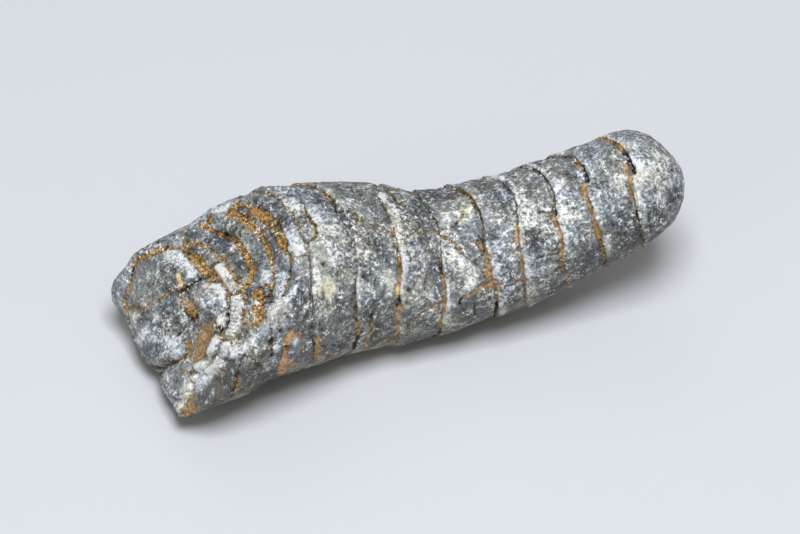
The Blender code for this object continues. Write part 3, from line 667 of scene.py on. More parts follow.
    (.27, .1, .12, [(-30.8, -5.8), (-30.5, -6.2)]),
    (.27, .15, .25, [(-18.2, 6.5), (-17.3, 5.3)]),
    (.75, .9, .12, [(-30.8, -6.8), (-30.1, -7.4)]),
    (.30, .12, .12, [(-31.2, -7.4), (-30.6, -7.9)]),
    (.30, 1, .2, [(-15, -9.9), (-14.2, -10.8), (-14, -11.7)]),
    (1.27, .58, .4, [(-22.8, 1.6), (-22.2, 0.4), (-22, -0.7)]),
    (.21, .6, .08, [(-22.3, -6.5), (-22.1, -7.8), (-22.4, -9.6)]),
    (.21, .66, .08, [(-21.5, -8.1), (-21.6, -9.3)]),
    (1.50, 1.03, .2, [(-16.8, -13.9), (-17.2, -14.8), (-17.5, -15.7)]),
    (.75, .95, .2, [(-17.5, -15.6), (-17.9, -16.4)]),
    (.51, 1.15, .15, [(-12, -10.3), (-12, -11.1)]),
    (.24, .25, .15, [(-10.2, -11.4), (-9.5, -11.9)]),
    (.24, .7, .1, [(-9.5, -12.3), (-8.8, -12.2), (-8, -11.9)]),
]
# Layers and patches: pale (1 is white, -1 dark), cream, calm (1 is even stone), rise,
# softness, rib spacing, outline.
PATCHES = [
    (0, .3, 0, 0, 6, 0, [(-12.8, 9.9), (0, 10.6), (6, 9.1), (6, -7.9), (0, -10.3), (-12.4, -12.3)]),
    (0.4, 0, 0, 0, 4, 0, [(35.2, 15.9), (40.1, 16.3), (43.2, 13.1), (43.5, 9.3), (40.9, 5.9),
        (37.1, 4.6), (36, 8.5), (35.1, 12.9)]),
    (-0.6, 0, .1, 0, 4, 0, [(35.9, 4.6), (40.1, 7), (43.5, 10.7), (44.2, 7.8), (40.8, 4.7),
        (37, 2.6)]),
    (0.15, 0, 0, 0, 4, 0, [(13.1, 4), (16.7, 5.2), (17.3, -1.2), (14.6, -3.4)]),
    (0.5, 0, 0, 0, 3, 0, [(15.5, 7.7), (23.2, 8.8), (23.9, 2.5), (16.7, 0.7)]),
    (.3, 0, 0, 0, 3, 0, [(24.7, 10.6), (27.4, 11.5), (28.6, 6.1), (25.9, 5.2)]),
    (0.4, 0, 0, 0, 3, 0, [(13.1, 7.9), (17, 9.1), (17.6, 4), (14, 2.8)]),
    (-.25, 0, 0, 0, 3, 0, [(6.9, 7.6), (11.9, 9.1), (12.5, 4), (11, 0.7), (7.4, 2.5)]),
    (0.15, .2, 0, 0, 4, 0, [(-12.4, 0.7), (-7.4, 1.6), (-7.1, -5.6), (-11.5, -6.6)]),
    (0.1, 0, 0, 0, 4, 0, [(0.6, 4.6), (5.4, 4), (5.7, -2.7), (0.6, -3.4)]),
    (-.3, .1, .2, 0, 5, 0, [(-12.7, -8.1), (-7.1, -7.6), (-6.9, -12.7), (-12.2, -13.8)]),
    (-.35, .1, .2, 0, 5, 0, [(-6.2, -4.9), (-0.9, -5.5), (-0.6, -11), (-6, -12.4)]),
    (-0.75, 0, .2, 0, 5, 0, [(22.1, -0.1), (24.2, 0.7), (25, -3.5), (21.8, -4.4), (19.5, -5),
        (19.1, -2.5)]),
    (.3, 0, 0, 0, 2, 0, [(18.9, -0.1), (23.3, 0.4), (24, -2.2), (19.4, -2.8)]),
    (-0.85, 0, .2, 0, 5, 0, [(28.3, 3.1), (30.4, 4), (35.9, 4.9), (36.5, 3.2), (31.1, 0.2),
        (25.8, -2.3), (25.1, 0.7)]),
    (-0.6, 0, .1, 0, 3, 0, [(24.8, 0.7), (29.9, 2.5), (30.7, 0.8), (26.1, -2.3)]),
    (-.25, 0, .2, 0, 5, 0, [(-27.1, -16.1), (-20.3, -13.4), (-19.6, -16.2), (-27.5, -20.2),
        (-29, -19.7)]),
    (0.45, 0, .2, 0, 2, 0, [(-23.5, -10.4), (-20.3, -8.7), (-19.1, -10.1), (-20.2, -12.5),
        (-22.9, -13.1)]),
    (-0.45, 0, 0, 0, 4, 0, [(1.2, 11.6), (5.4, 10.6), (5.7, 6.1), (1.5, 7), (0, 9.4)]),
    (-.3, 0, 0, 0, 4, 0, [(-15, 12.8), (-3, 12.5), (-0.6, 10.6), (-6, 10), (-12.5, 10.2)]),
    (-0.4, 0, 0, 0, 3, 0, [(0.6, 12.2), (6, 11.6), (13, 14.6), (18.1, 16.4), (23.5, 18.2),
        (30.1, 20.6), (30.6, 19.1), (24, 16.7), (18.4, 14.6), (13.2, 12.4), (6, 9.4), (0.6, 10)]),
    (.35, 0, .1, 0, 2, 0, [(-13, 9.2), (-10.4, 8.8), (-9.5, 5.5), (-11.5, 4.6), (-13, 6.2)]),
    (0.2, 0, 0, .4, 1, 0, [(-40, 0.8), (-40.4, -1.2), (-41.2, -4.5), (-41.7, -5.9), (-42.8, -5),
        (-43.6, -3.5), (-43.3, -2.3), (-42.2, -0.9), (-40.9, 0.8)]),
    (.1, 0, 0, .1, 0.8, 0, [(-41.5, -5.9), (-40.9, -8.3), (-40, -9.9), (-39, -11.9),
        (-40.3, -9.8), (-41.9, -6.8)]),
    (.55, 0, 0, .1, 0.6, 0, [(-39.8, 1.2), (-37.9, 2.1), (-36.2, 2.8), (-34.4, 3.6), (-32.6, 4),
        (-32.1, 3.1), (-33.5, 3.3), (-35.1, 2.8), (-37.1, 2.1), (-39, 1.4)]),
    (-0.02, 0, 0.25, .6, 1, 0, [(-39.3, 0.5), (-37.5, 1.3), (-35.6, 1.8), (-34.5, 0.7),
        (-33.9, -1.2), (-34, -3.1), (-35.9, -4.5), (-37.6, -5.2), (-38.9, -6), (-40.9, -5.7),
        (-40.4, -3.5), (-39.8, -1.2)]),
    (.0, 0, .35, .7, 1, 0, [(-40.6, -6.6), (-38.9, -6.9), (-37.3, -6), (-35.4, -5.2),
        (-34.2, -4.3), (-33.7, -6.4), (-33.4, -9.4), (-32.3, -11.3), (-31.8, -13.1),
        (-33.4, -14), (-35.3, -14.8), (-37, -14.4), (-38.7, -12), (-40.3, -9)]),
    (-.02, 0, 0.1, .7, 0.9, 0, [(-35.3, -15.5), (-33.4, -14.6), (-32.1, -14.4), (-31.2, -15.9),
        (-30.8, -17.9), (-32.1, -19.6), (-33.2, -20.5), (-34.6, -19.2), (-35.7, -16.9)]),
    (.55, .05, .1, .15, 1.2, 0, [(-15.9, -1.9), (-18.2, -4.9), (-20.3, -7.5), (-22.3, -10.1),
        (-24.7, -11.6), (-27.4, -13), (-29.9, -15.3), (-31.8, -18), (-33.3, -21), (-32.1, -21.5),
        (-30.2, -19.1), (-28.1, -17), (-25.6, -15.2), (-23.5, -13.2), (-21.1, -11.6),
        (-19.4, -9.5), (-17.3, -6.9), (-15, -3.7)]),
    (0.78, 0, 0, .35, 0.6, 0, [(-35.1, 2.4), (-33.6, 2.7), (-32.1, 1.9), (-31.3, 0.7),
        (-30.3, -0.7), (-31.1, -2.1), (-31.7, -2.4), (-32.2, -1), (-33, 0.1), (-34.3, 0.9),
        (-35.3, 1.5)]),
    (-0.3, 0, 0.25, .9, 2.2, 0, [(-30.2, -2.5), (-28.6, -2.1), (-27, -2.4), (-25.7, -3.4),
        (-25.6, -5.2), (-26.5, -6.5), (-28.3, -7), (-29.8, -6.7), (-31.2, -5.4), (-31.6, -3.7)]),
    (.3, 0, .2, 0, 2, 0, [(-30.3, -2.8), (-27.6, -3.1), (-26.3, -4.9), (-27.5, -6.4),
        (-29.6, -6.1), (-31, -4.6)]),
    # Painted highlight: a bright crescent on the upper right of the knob.
    (1.05, 0, 0.6, .1, 0.7, 0, [(-29.1, -2.5), (-27.6, -2.4), (-26.2, -3), (-25.6, -4.4),
        (-25.7, -5.6), (-26.5, -5.3), (-26.8, -4.1), (-27.7, -3.4), (-28.9, -3.3)]),
    (1.1, 0, 0.25, .55, 0.3, 0, [(-27.8, -0.1), (-26.6, 0.7), (-23.7, -2.2), (-25.1, -3.7)]),
    (.35, 0, .3, .1, 0.5, 0, [(-25.8, -1.8), (-24.9, -1.5), (-24, -2.5), (-24.7, -3.3)]),
    (.7, 0, 0.55, .55, 0.3, .55, [(-25.1, -4.3), (-23.5, -4), (-23.1, -5.8), (-23.1, -7.5),
        (-23.5, -9.3), (-24.4, -10.6), (-25.8, -10.5), (-25.5, -9), (-25.1, -7.5), (-25, -6.1)]),
    (0.85, 0, .6, .5, 0.3, 0, [(-26.1, -11), (-24.4, -10.7), (-24.4, -11.9), (-25, -13.1),
        (-26.2, -14), (-27, -14), (-26.5, -12.5)]),
    (0.95, 0, .6, .6, 0.3, 0, [(-24.7, -11.9), (-23.5, -11.9), (-23.3, -12.8), (-24.2, -13.7),
        (-25, -13.8), (-25, -12.9)]),
    (.9, 0, 0.4, .6, 0.4, 0, [(-26.8, -6.5), (-25.6, -6.5), (-25.4, -7.5), (-26, -9),
        (-27, -9.3), (-27.2, -8.1)]),
    (1.2, 0, 0.25, .7, 0.3, 0, [(-27.5, -10.3), (-26.2, -10.2), (-26.4, -11.3), (-27.3, -12.7),
        (-28.2, -13.4), (-28.5, -12.6), (-27.9, -11.4)]),
    (1.05, .1, 0.3, .9, 0.3, 0, [(-30.2, -14.1), (-28.8, -13.5), (-28.2, -14.2), (-28.7, -15.1),
        (-29.8, -15.7), (-30.4, -15.1)]),
    (1.2, .2, .45, .8, 0.3, 0, [(-31.2, -16.2), (-30.1, -15.7), (-29.6, -16.4), (-30.2, -17.2),
        (-31.2, -17.4)]),
    (0.8, 0, .4, .7, 0.5, 0, [(-29.8, -16.1), (-28.7, -15.7), (-27.6, -16.1), (-28.5, -17.6),
        (-30.1, -18.7), (-30.7, -18.2), (-30.4, -17.2)]),
    (1, .2, .6, .7, 0.3, 0, [(-31.8, -17.7), (-31, -17.2), (-30.5, -17.9), (-30.8, -18.8),
        (-31.5, -19.9), (-32.1, -19.3)]),
    (1.0, .1, .6, .6, 0.3, 0, [(-32.7, -20.1), (-32.1, -19.5), (-31.6, -20.2), (-32.1, -21.5),
        (-32.7, -22.1), (-33.3, -21.1)]),
    (.5, 0, .5, .3, 0.6, 0, [(-26.1, -12.4), (-25.2, -12.5), (-25.3, -13.7), (-26.2, -14)]),
    (0.6, 0, .5, .6, 0.5, 0, [(-23.4, -11), (-22.2, -10.4), (-21.3, -10.9), (-21.7, -11.7),
        (-22.9, -12.5), (-23.5, -12.2)]),
    (-.75, 0, 0.45, .35, 0.4, 0, [(-32.5, 5.2), (-31.3, 5.7), (-29.7, 5.4), (-29.1, 4.3),
        (-30.4, 4), (-32, 4.5)]),
    (-.5, .15, 0.4, .35, 0.3, 0, [(-31.3, 3.4), (-30.1, 3.4), (-29, 2.8), (-29.8, 1.9),
        (-31.3, 2.2)]),
    (-.4, .15, 0.4, .35, 0.3, 0, [(-29.3, 1.9), (-28.7, 2.7), (-27.7, 1.9), (-28.4, 1)]),
    (-.1, 0, 0.4, .35, 0.3, 0, [(-28.5, 0.6), (-27.5, 1.6), (-26.6, 0.9), (-27.8, 0)]),
    (-.9, 0, 0.3, .35, 0.5, 0, [(-29.4, 4.3), (-27.9, 4.8), (-25.9, 4.2), (-25, 3), (-25.4, 2.1),
        (-26.6, 1.9), (-28.1, 2.5)]),
    (-0.15, .5, 0.1, .35, 0.6, .8, [(-27.1, 6), (-25.8, 7.3), (-23.8, 7.1), (-22, 5.6),
        (-22.7, 4.3), (-24.4, 4), (-25.9, 4.9)]),
    (-1, .2, 0, -.1, 0.8, 0, [(-27.9, 5.4), (-26.5, 5.7), (-25, 4.8), (-23.8, 3.9), (-24.7, 3.6),
        (-26.2, 4.2), (-27.7, 4.6)]),
    (-.75, 0, 0.4, .4, 0.4, 0, [(-26.3, 1.6), (-25.1, 2.4), (-23.9, 1.6), (-24.7, 0.4)]),
    (-.7, 0, 0.4, .4, 0.4, 0, [(-24.9, 0.1), (-23.9, 1.3), (-22.5, 0), (-22.8, -1.3),
        (-23.7, -2.1)]),
    (-.9, 0, 0.7, .4, 0.4, 0, [(-24.3, 8.9), (-22.9, 9.1), (-21.1, 7.4), (-21.4, 6.8),
        (-23.1, 7.4), (-24.4, 8.2)]),
    (-.45, 0, 0.6, .35, 0.5, 0, [(-20.6, 5.6), (-19.3, 5.8), (-17.9, 4), (-17.3, 2.2),
        (-16.5, 0.7), (-16.7, -0.4), (-17.6, -0.4), (-18.5, 1.3), (-19.1, 3), (-20.5, 4.6)]),
    (.8, 0, 0, .2, 0.6, 0, [(-18.4, -0.7), (-16.7, -0.7), (-16.9, -3.4), (-17.9, -5.1),
        (-18.7, -5.6), (-18.4, -3.4)]),
    (-0.3, 0, 0.2, .35, 0.7, 0, [(-22.2, 3), (-21, 3.6), (-19.8, 2.2), (-19.2, 0.4),
        (-18.9, -1.6), (-20.4, -2.5), (-21.1, -1.9), (-21.4, -0.1)]),
    (.7, 0, 0, .1, 0.6, 0, [(-20.4, -0.4), (-19, -0.7), (-19, -2.2), (-20.5, -2.5)]),
    (-.6, 0, 0.25, .35, 0.6, 0, [(-23, -3.1), (-21.9, -2.1), (-21.1, -3.5), (-21.5, -5.3),
        (-22.6, -5.8)]),
    (-.2, .7, 0.1, .25, 0.6, .7, [(-22.7, -6.2), (-21.2, -5.9), (-20.3, -7.5), (-21.2, -9.7),
        (-22.9, -10.4), (-22.8, -8.4)]),
    (0, .9, .1, 0, 1, .8, [(-23, -6.2), (-19.4, -6.2), (-19.7, -8.1), (-21.2, -9.8),
        (-22.9, -10.1)]),
    (-0.4, 0, 0, .3, 0.5, .6, [(-20.3, -3.5), (-18.9, -3.1), (-18.7, -4.6), (-19.1, -5.7),
        (-20.2, -5.7), (-20.5, -4.7)]),
    (-.3, 0, 0.15, .1, 1, 0, [(-21.5, 10.6), (-19.3, 10.3), (-17.7, 9.2), (-16.1, 7.6),
        (-15.2, 5.8), (-16.3, 5.3), (-17.3, 6.4), (-19, 8), (-20.8, 9.2)]),
    (-.55, 0, .3, 0, 1, 0, [(-22.4, 10.6), (-20.6, 10.4), (-19, 9.7), (-17.5, 8.5), (-16.1, 6.7),
        (-16.6, 6.1), (-18.1, 7.6), (-19.9, 8.8), (-21.7, 9.5)]),
    (.9, 0, 0, .25, 0.8, 0, [(-17.4, 10.4), (-16.2, 10.7), (-15, 9.8), (-14.4, 8.4),
        (-15.3, 8.1), (-16.6, 8.9)]),
    (.95, 0, 0, .3, 1, 0, [(-17.6, 5.5), (-16.3, 6.2), (-15.2, 5.6), (-14.8, 4), (-13.9, 2.2),
        (-15.2, 1.6), (-16.5, 2.2), (-17.4, 3.5)]),
    (0.1, 0, 0, .15, 1.2, 0, [(-16.2, 1.3), (-13.7, 1.3), (-13.5, -0.7), (-15, -1.3),
        (-16.4, -0.7)]),
    (.5, 0, 0, .15, 0.7, 0, [(-29, 9.3), (-26.9, 9.6), (-24.9, 10), (-23.7, 9.4), (-25.2, 8.4),
        (-27.5, 7.8), (-29, 8.2)]),
    (0.6, 0, 0, 0, 1.2, 0, [(-13.8, 8.7), (-12.7, 9), (-11.5, 7.5), (-11.1, 5.8), (-11.8, 4.3),
        (-12.4, 4.6), (-12.6, 6.1), (-13.2, 7.5)]),
    (.3, 0, 0, .1, 1.4, 0, [(-12.3, 6.6), (-10.9, 6.4), (-10, 4.9), (-9.6, 2.8), (-10.8, 3.1),
        (-11.9, 4.6)]),
    (.95, .85, 0, .05, 1.2, 0, [(-12.2, -1.6), (-10.6, -1.3), (-9.3, -2.8), (-9.7, -4.9),
        (-11.5, -4.6), (-12.3, -3.5)]),
    (.3, .6, 0, 0, 1.5, 0, [(-12.7, 4.3), (-10.9, 4.3), (-9.7, 2.2), (-9.4, -0.1), (-11, -0.7),
        (-12.4, 0.7)]),
    (0.2, .6, 0, 0, 1.2, 0, [(-9.4, 0.7), (-7.8, 1), (-7.2, -1), (-8.4, -2.5), (-9.7, -1.6)]),
    (.35, .7, 0, 0, 1.2, 0, [(-11.5, -4.9), (-9.9, -4.9), (-9.6, -6.6), (-11.1, -7.2), (-11.9, -6)]),
    (.6, .6, 0, 0, 1, 0, [(-0.1, 3.3), (0.9, 3.3), (1.3, 1.6), (0.6, 0.7), (-0.3, 1.8)]),
    (.75, .35, 0, .05, 1.2, 0, [(-3.6, -0.9), (-1.5, 0.3), (-0.6, -1.5), (-1.3, -3.1), (-3, -2.8)]),
    (.55, .7, 0, 0, 1.2, 0, [(8.7, 8.8), (10.5, 9.6), (11, 7.9), (10.1, 6.1), (8.6, 6.7)]),
    (.7, .6, 0, 0, 1, 0, [(4.9, 2.5), (5.8, 2.5), (6.1, 0.7), (5.4, 0.7)]),
    (0.24, 0.3, 0, 0, 1.2, 0, [(15.6, 3.4), (16.8, 4.6), (17.7, 3.1), (17.6, 1.3), (16.1, 1.2)]),
    (0.3, 0.2, 0, 0, 1.2, 0, [(17.7, 9.5), (19.4, 10), (20.6, 9.2), (20.2, 7.9), (18.5, 7.9)]),
    (0.3, 0.24, 0, 0, 1.2, 0, [(18.1, -3.1), (20.6, -2.4), (22.5, -3), (21.8, -4.5), (19.2, -5.1)]),
    (0.18, 0.24, 0, 0, 1.2, 0, [(21.6, 4.6), (23.2, 4.9), (24, 2.5), (23.1, 0.7), (21.8, 1.6)]),
    (.5, .8, 0, 0, 0.8, 0, [(3.9, -3.6), (4.6, -3.3), (5.1, -4.8), (4.5, -5.5), (3.7, -4.8)]),
    (.1, .9, 0, 0, 0.6, 0, [(21.7, 7.9), (23.1, 8.2), (23.2, 7.1), (22, 6.8)]),
    (.9, 0, 0, .15, 0.8, 0, [(-3.3, 11.1), (-2.4, 11.4), (-1.8, 10.5), (-2.2, 9.7), (-3.3, 10)]),
    (.7, 0, 0, .1, 0.8, 0, [(-1.3, 9.5), (0, 9.1), (0.6, 7.6), (-0.3, 6.7), (-1.3, 8)]),
    (.85, 0, 0, .15, 0.8, 0, [(-0.4, 3.6), (0.6, 3.6), (0.9, 2.5), (0, 1.9)]),
    (.8, 0, 0, .1, 0.8, 0, [(0.1, 2.2), (1.3, 1.8), (1.6, 0.3), (0.7, -0.1), (0, 1)]),
    (.85, 0, 0, .15, 0.8, 0, [(-1, 6.7), (0, 6.5), (0.3, 5.3), (-0.6, 5)]),
    (0.55, 0, 0, .1, 1, 0, [(5.7, 8.1), (7.5, 8.2), (8.7, 7.6), (7.5, 6.4), (6, 6.7)]),
    (0.5, 0, 0, .1, 1.2, 0, [(6.8, 3), (8.8, 2.2), (11, 0.4), (12.1, -1.3), (10.4, -2.5),
        (8.9, -1.2), (7.4, 0.7)]),
    (.6, 0, 0, .1, 1, 0, [(9.4, -3.6), (11.2, -3.4), (11.9, -2.4), (10.6, -1.8), (9.5, -2.5)]),
    (.9, 0, 0, .2, 0.7, 0, [(12.8, 13.7), (14.2, 13.9), (15.4, 13.3), (15.7, 12.7), (14.3, 12.9),
        (12.9, 13.1)]),
    (.85, 0, 0, .15, 0.7, 0, [(18.1, 15.8), (19.5, 15.6), (21, 14.8), (19.5, 14.6), (18.2, 15.1)]),
    (.85, 0, 0, .15, 0.7, 0, [(23.5, 17.3), (24.5, 17.4), (24.9, 16.8), (23.6, 16.7)]),
    (.9, 0, 0, .15, 0.8, 0, [(29.7, 20), (30.6, 19.7), (32, 19), (33.2, 18.1), (34, 17),
        (34.7, 15.9), (35.1, 14.4), (34.7, 14.1), (34.3, 15.5), (33.3, 17.3), (31.7, 18.7),
        (30.1, 19.4)]),
    (.7, 0, 0, .1, 1.2, 0, [(34.8, 15.6), (36.4, 16.1), (37.2, 14.7), (36.9, 12.9), (35.4, 12.3),
        (34.8, 13.8)]),
    (.7, 0, 0, .1, 1, 0, [(23.3, 13.3), (24.1, 12.7), (24.6, 11.2), (24, 9.7), (23.4, 10.6)]),
    (.75, 0, 0, .1, 1, 0, [(23.4, 8.8), (24.7, 8.8), (25.6, 7.3), (24.7, 6.1), (23.8, 6.7)]),
    (.7, 0, 0, .1, 1, 0, [(24.1, 6.1), (25.2, 5.2), (25.3, 3.1), (24.4, 2.5), (24.3, 4.3)]),
    (.5, 0, 0, .1, 1, 0, [(13.4, 4.8), (14.7, 5.2), (15.5, 3.4), (14.6, 2.2), (13.4, 2.8)]),
    (.7, 0, 0, .1, 0.7, 0, [(16.7, 10.8), (17.4, 10.1), (18, 8.5), (17.6, 7.9), (17.2, 9.3)]),
    (.55, 0, 0, .1, 1, 0, [(30.3, 4.6), (31.3, 4.9), (31.8, 3.1), (31.1, 1.9), (30.5, 3.1)]),
    (.7, 0, 0, .1, 1, 0, [(-8.8, 10), (-7.1, 10.6), (-6.2, 9.4), (-7.4, 8.5), (-8.3, 8.8)]),
    (.6, 0, 0, .1, 1.2, 0, [(-6.7, 10.4), (-4.8, 10.9), (-4.2, 9.5), (-5.6, 8.5), (-6.5, 9.2)]),
    (.8, 0, 0, .1, 0.8, 0, [(0.3, 0.7), (1.2, -0.1), (0.4, -1.9), (0.3, -4), (0, -4.9),
        (0.1, -2.7)]),
    (.6, 0, 0, .1, 1, 0, [(-6.4, -2.1), (-4.4, -2.2), (-3.7, -3.4), (-5.3, -4), (-6.4, -3.4)]),
    (.7, 0, 0, .1, 0.8, 0, [(7.1, -2.4), (7.5, -4.6), (7.2, -6.7), (6.7, -8.2), (6.7, -5.8)]),
    (.75, 0, 0, .15, 1, 0, [(14.4, 2.4), (13.7, 0.7), (14.2, -1.3), (14.9, -2.2), (14.6, -0.1)]),
    (1.2, 0, .4, .3, 0.6, 0, [(14.8, -6.1), (15.8, -6.5), (16.2, -7.1), (15.2, -7.5), (14.6, -7.1)]),
    (-1, 0, 0, 0, 1, 0, [(-8.3, 8.8), (-7.1, 7.9), (-6.8, 6.1), (-7.4, 5.2), (-8.1, 6.7)]),
    (-.4, 0, 0, 0, 1.2, 0, [(-5.6, 6.7), (-3.6, 6.4), (-2.4, 4.9), (-3, 3.1), (-5, 4)]),
    (-.45, 0, 0, 0, 1.2, 0, [(-4.1, 3.1), (-2.7, 3.1), (-1.5, 1.6), (-0.9, -0.1), (-2.4, -0.1),
        (-3.8, 1.3)]),
    (-.5, 0, 0, -.1, 1, 0, [(-5.8, 0.7), (-4.4, 0.6), (-4.1, -1.3), (-5.3, -1.6), (-6.1, -0.4)]),
    (-.3, .2, 0, 0, 1, 0, [(-1.8, 11.2), (-0.3, 10.3), (0.6, 8.8), (-0.6, 8.8), (-1.6, 10)]),
    (-0.3, 0, 0, 0, 1.2, 0, [(3.3, 4.6), (5.2, 4.3), (5.8, 1.6), (6, -0.7), (5.1, -1.3),
        (4.3, 0.7), (3.6, 2.5)]),
    (-.5, 0, 0, -.1, 1, 0, [(4.8, -0.1), (6, -1.3), (6.4, -3.4), (6.3, -5.2), (5.5, -4.6),
        (4.9, -2.5)]),
    (-.35, 0, 0, 0, 1.2, 0, [(12.6, 10.9), (14.4, 11.2), (16.1, 10), (15.8, 7.9), (14, 7.3),
        (13, 8.8)]),
    (-.35, 0, 0, 0, 1.2, 0, [(13.1, 6.1), (14.6, 6.4), (14.9, 4.3), (13.7, 3.4), (12.9, 4.6)]),
    (-.3, 0, 0, 0, 1.4, 0, [(15.4, 12.1), (16.7, 11.5), (17.9, 10.6), (20, 10.3), (21.6, 10.9),
        (20.6, 12.7), (18.6, 13.6), (16.2, 13)]),
    (-.4, 0, 0, 0, 1.4, 0, [(18.6, 5.8), (20.8, 6.1), (21.7, 4), (20.9, 1.6), (19.1, 2.2),
        (18.3, 4)]),
    (-.3, 0, 0, 0, 1.6, 0, [(21.7, 15.3), (23.9, 15.7), (25.7, 15.1), (26.8, 13.6), (27.1, 11.8),
        (25.3, 12.1), (23.3, 13.6)]),
    (-.4, 0, 0, 0, 1.2, 0, [(28.3, 15.4), (30.2, 14.7), (30.7, 12.6), (29.2, 11.5), (28, 13)]),
    (-.35, 0, 0, -.15, 1.2, 0, [(31.7, 17.5), (33.1, 16.6), (34.3, 15.1), (34.4, 14.1),
        (33.1, 14.4), (31.9, 15.9)]),
    (-0.6, 0, 0, 0, 1.4, 0, [(31, 8.2), (33, 8.8), (34.6, 7.6), (35.2, 5.5), (34.1, 4),
        (31.6, 4.6)]),
    (-.35, 0, 0, 0, 1.4, 0, [(36.6, 9.4), (39.1, 9.1), (40.1, 7), (38.9, 5.2), (37, 6.1)]),
    (-.25, .2, 0, 0, 1.4, 0, [(39.3, 11.5), (41.9, 12.4), (42.6, 10.1), (41.7, 8.2), (40, 9.1)]),
    (-.35, 0, 0, 0, 1.4, 0, [(25.3, 5.2), (27.4, 5.8), (28.6, 3.7), (27.8, 1.6), (25.6, 2.2)]),
    (-.4, 0, 0, 0, 1.4, 0, [(-8.8, -2.2), (-7.1, -2.5), (-6.8, -6.7), (-7.4, -10), (-9.2, -9.3),
        (-9.7, -5.8)]),
    (-.3, 0, 0, 0, 1.4, 0, [(-3.6, -3.7), (-1.5, -3.4), (-0.6, -5.8), (-1.2, -8.2), (-3, -7.6)]),
    (-.35, 0, 0, 0, 1.4, 0, [(-15.3, -1.2), (-13.8, -1.3), (-13.2, -4.3), (-13.1, -7.8),
        (-14.1, -9.9), (-15.6, -8.1), (-16.5, -4.8)]),
    (-0.45, 0, 0, 0, 1.4, 0, [(-16.2, -11), (-15.2, -10.4), (-14.3, -11.7), (-14.2, -13.5),
        (-15.1, -14.4), (-16.2, -13.1)]),
    (1.2, 0, .3, .4, 0.8, 0, [(-18.5, -11.6), (-17.9, -11.5), (-17.6, -12.2), (-18.1, -12.8),
        (-18.7, -12.3)]),
    (0.3, 0, .1, .5, 1.2, 0, [(-16.3, -10.7), (-15, -10.5), (-14.3, -12), (-14.5, -13.5),
        (-15.7, -14.1), (-16.4, -12.5)]),
    (1, 0, .2, .1, 0.5, 0, [(-15.9, -11), (-15.4, -10.4), (-14.7, -10.3), (-14.9, -10.9),
        (-15.5, -11.2), (-15.8, -11.8)]),
    (.1, 0, .1, .5, 1.2, 0, [(-18.8, -6.6), (-17.8, -6.6), (-17.5, -7.8), (-18, -8.9),
        (-18.8, -8.1)]),
    (1.2, 0, .4, .3, 0.5, 0, [(-19, -6.5), (-17.6, -5.4), (-16.5, -4), (-15.6, -2.5),
        (-14.8, -2.4), (-15.3, -4.1), (-16.6, -5.4), (-17.8, -6.3), (-18.7, -7.3)]),
    (-.3, 0, 0, 0, 1.4, 0, [(15.5, -0.1), (17, -0.1), (17.9, -1.9), (17, -3.1), (15.5, -2.5)]),
    (-.35, 0, 0, 0, 1.4, 0, [(7.7, -3.7), (9.2, -4.9), (11.4, -5.5), (13.5, -4.9), (13.5, -7.4),
        (10.5, -8.6), (7.8, -8.2)]),
    (-.25, 0, 0, 0, 1.4, 0, [(1.8, -4.9), (3.6, -4.6), (4.8, -5.8), (3, -7), (1.5, -6.7)]),
    (-.4, 0, 0, 0, 1.2, 0, [(-15.5, 12.1), (-13.7, 11.6), (-12.2, 10.9), (-11, 9.7), (-9.8, 7.9),
        (-11, 8.4), (-12.7, 9.6), (-14.5, 10.5)]),
    (-.35, 0, 0, 0, 1.2, 0, [(-10.5, 12.4), (-8.1, 12.1), (-5.7, 11.2), (-4.2, 9.7), (-3, 7.9),
        (-2.4, 6.4), (-3.9, 7.3), (-5.9, 9.1), (-8.3, 10.6)]),
    # Painted shade: a soft dark band under the knob.
    (-.35, 0, .3, 0, 1, 0, [(-31.2, -6.2), (-30, -7), (-28.1, -7.2), (-26.3, -6.6),
        (-25.7, -5.8), (-25.2, -6.6), (-26.6, -7.5), (-28.7, -7.8), (-30.6, -7.4)]),
    (-.35, 0, .3, 0, 1, 0, [(-32.1, -7.6), (-30.3, -7.6), (-27.8, -7.8), (-27.2, -8.7),
        (-29, -9.3), (-30.9, -10.5), (-32.1, -10)]),
    # Painted shade: a dark strip in the hollow along the right edge of the upper left block.
    (-.35, 0, 0.3, 0, 1, 0, [(-35.1, 0.7), (-34, -0.1), (-33.2, -1.9), (-33.2, -4.9),
        (-33.1, -8.8), (-33.8, -9.4), (-34.2, -6.4), (-34.5, -3.4), (-34.3, -1.3)]),
    (-.3, 0, 0.3, 0, 1.2, 0, [(-39, 0.5), (-37.1, 1.2), (-35.6, 1.3), (-35.9, 0.1),
        (-37.4, -0.7), (-38.7, -1)]),
    (.25, 0, 0.2, 0, 1.2, 0, [(-40.3, -3.8), (-38.7, -3.4), (-37.1, -4), (-37.4, -4.9),
        (-38.9, -5.9), (-40.8, -5.6)]),
    # Painted shade: the down-facing lower front of the break, painted darker and warmer.
    (-.55, .6, .5, 0, 0.8, 0, [(-26.8, -15.3), (-25.5, -14), (-23.5, -13.1), (-23.3, -14.5),
        (-23.8, -16), (-24.1, -19.4), (-27.2, -20.2), (-30.2, -21.2), (-30.8, -20.3),
        (-30.2, -18.8), (-28.4, -17.9), (-27.4, -16.4)]),
    (-.35, .6, .5, 0, 0.8, 0, [(-23.2, -13.4), (-21.7, -13.6), (-20, -15.2), (-19.2, -14.6),
        (-17.8, -15.6), (-20.5, -17.7), (-23.7, -19.1), (-23.4, -16)]),
    (-.45, .3, .5, 0, 1.2, 0, [(-22.6, -12.5), (-20.8, -11), (-19.4, -10.1), (-18.8, -12.2),
        (-19.2, -14.6), (-21.1, -13.3)]),
    (1.2, .2, 0.25, .9, 0.3, 0, [(-27.1, -14), (-25.5, -13.7), (-26.2, -14.9), (-27.3, -15.8),
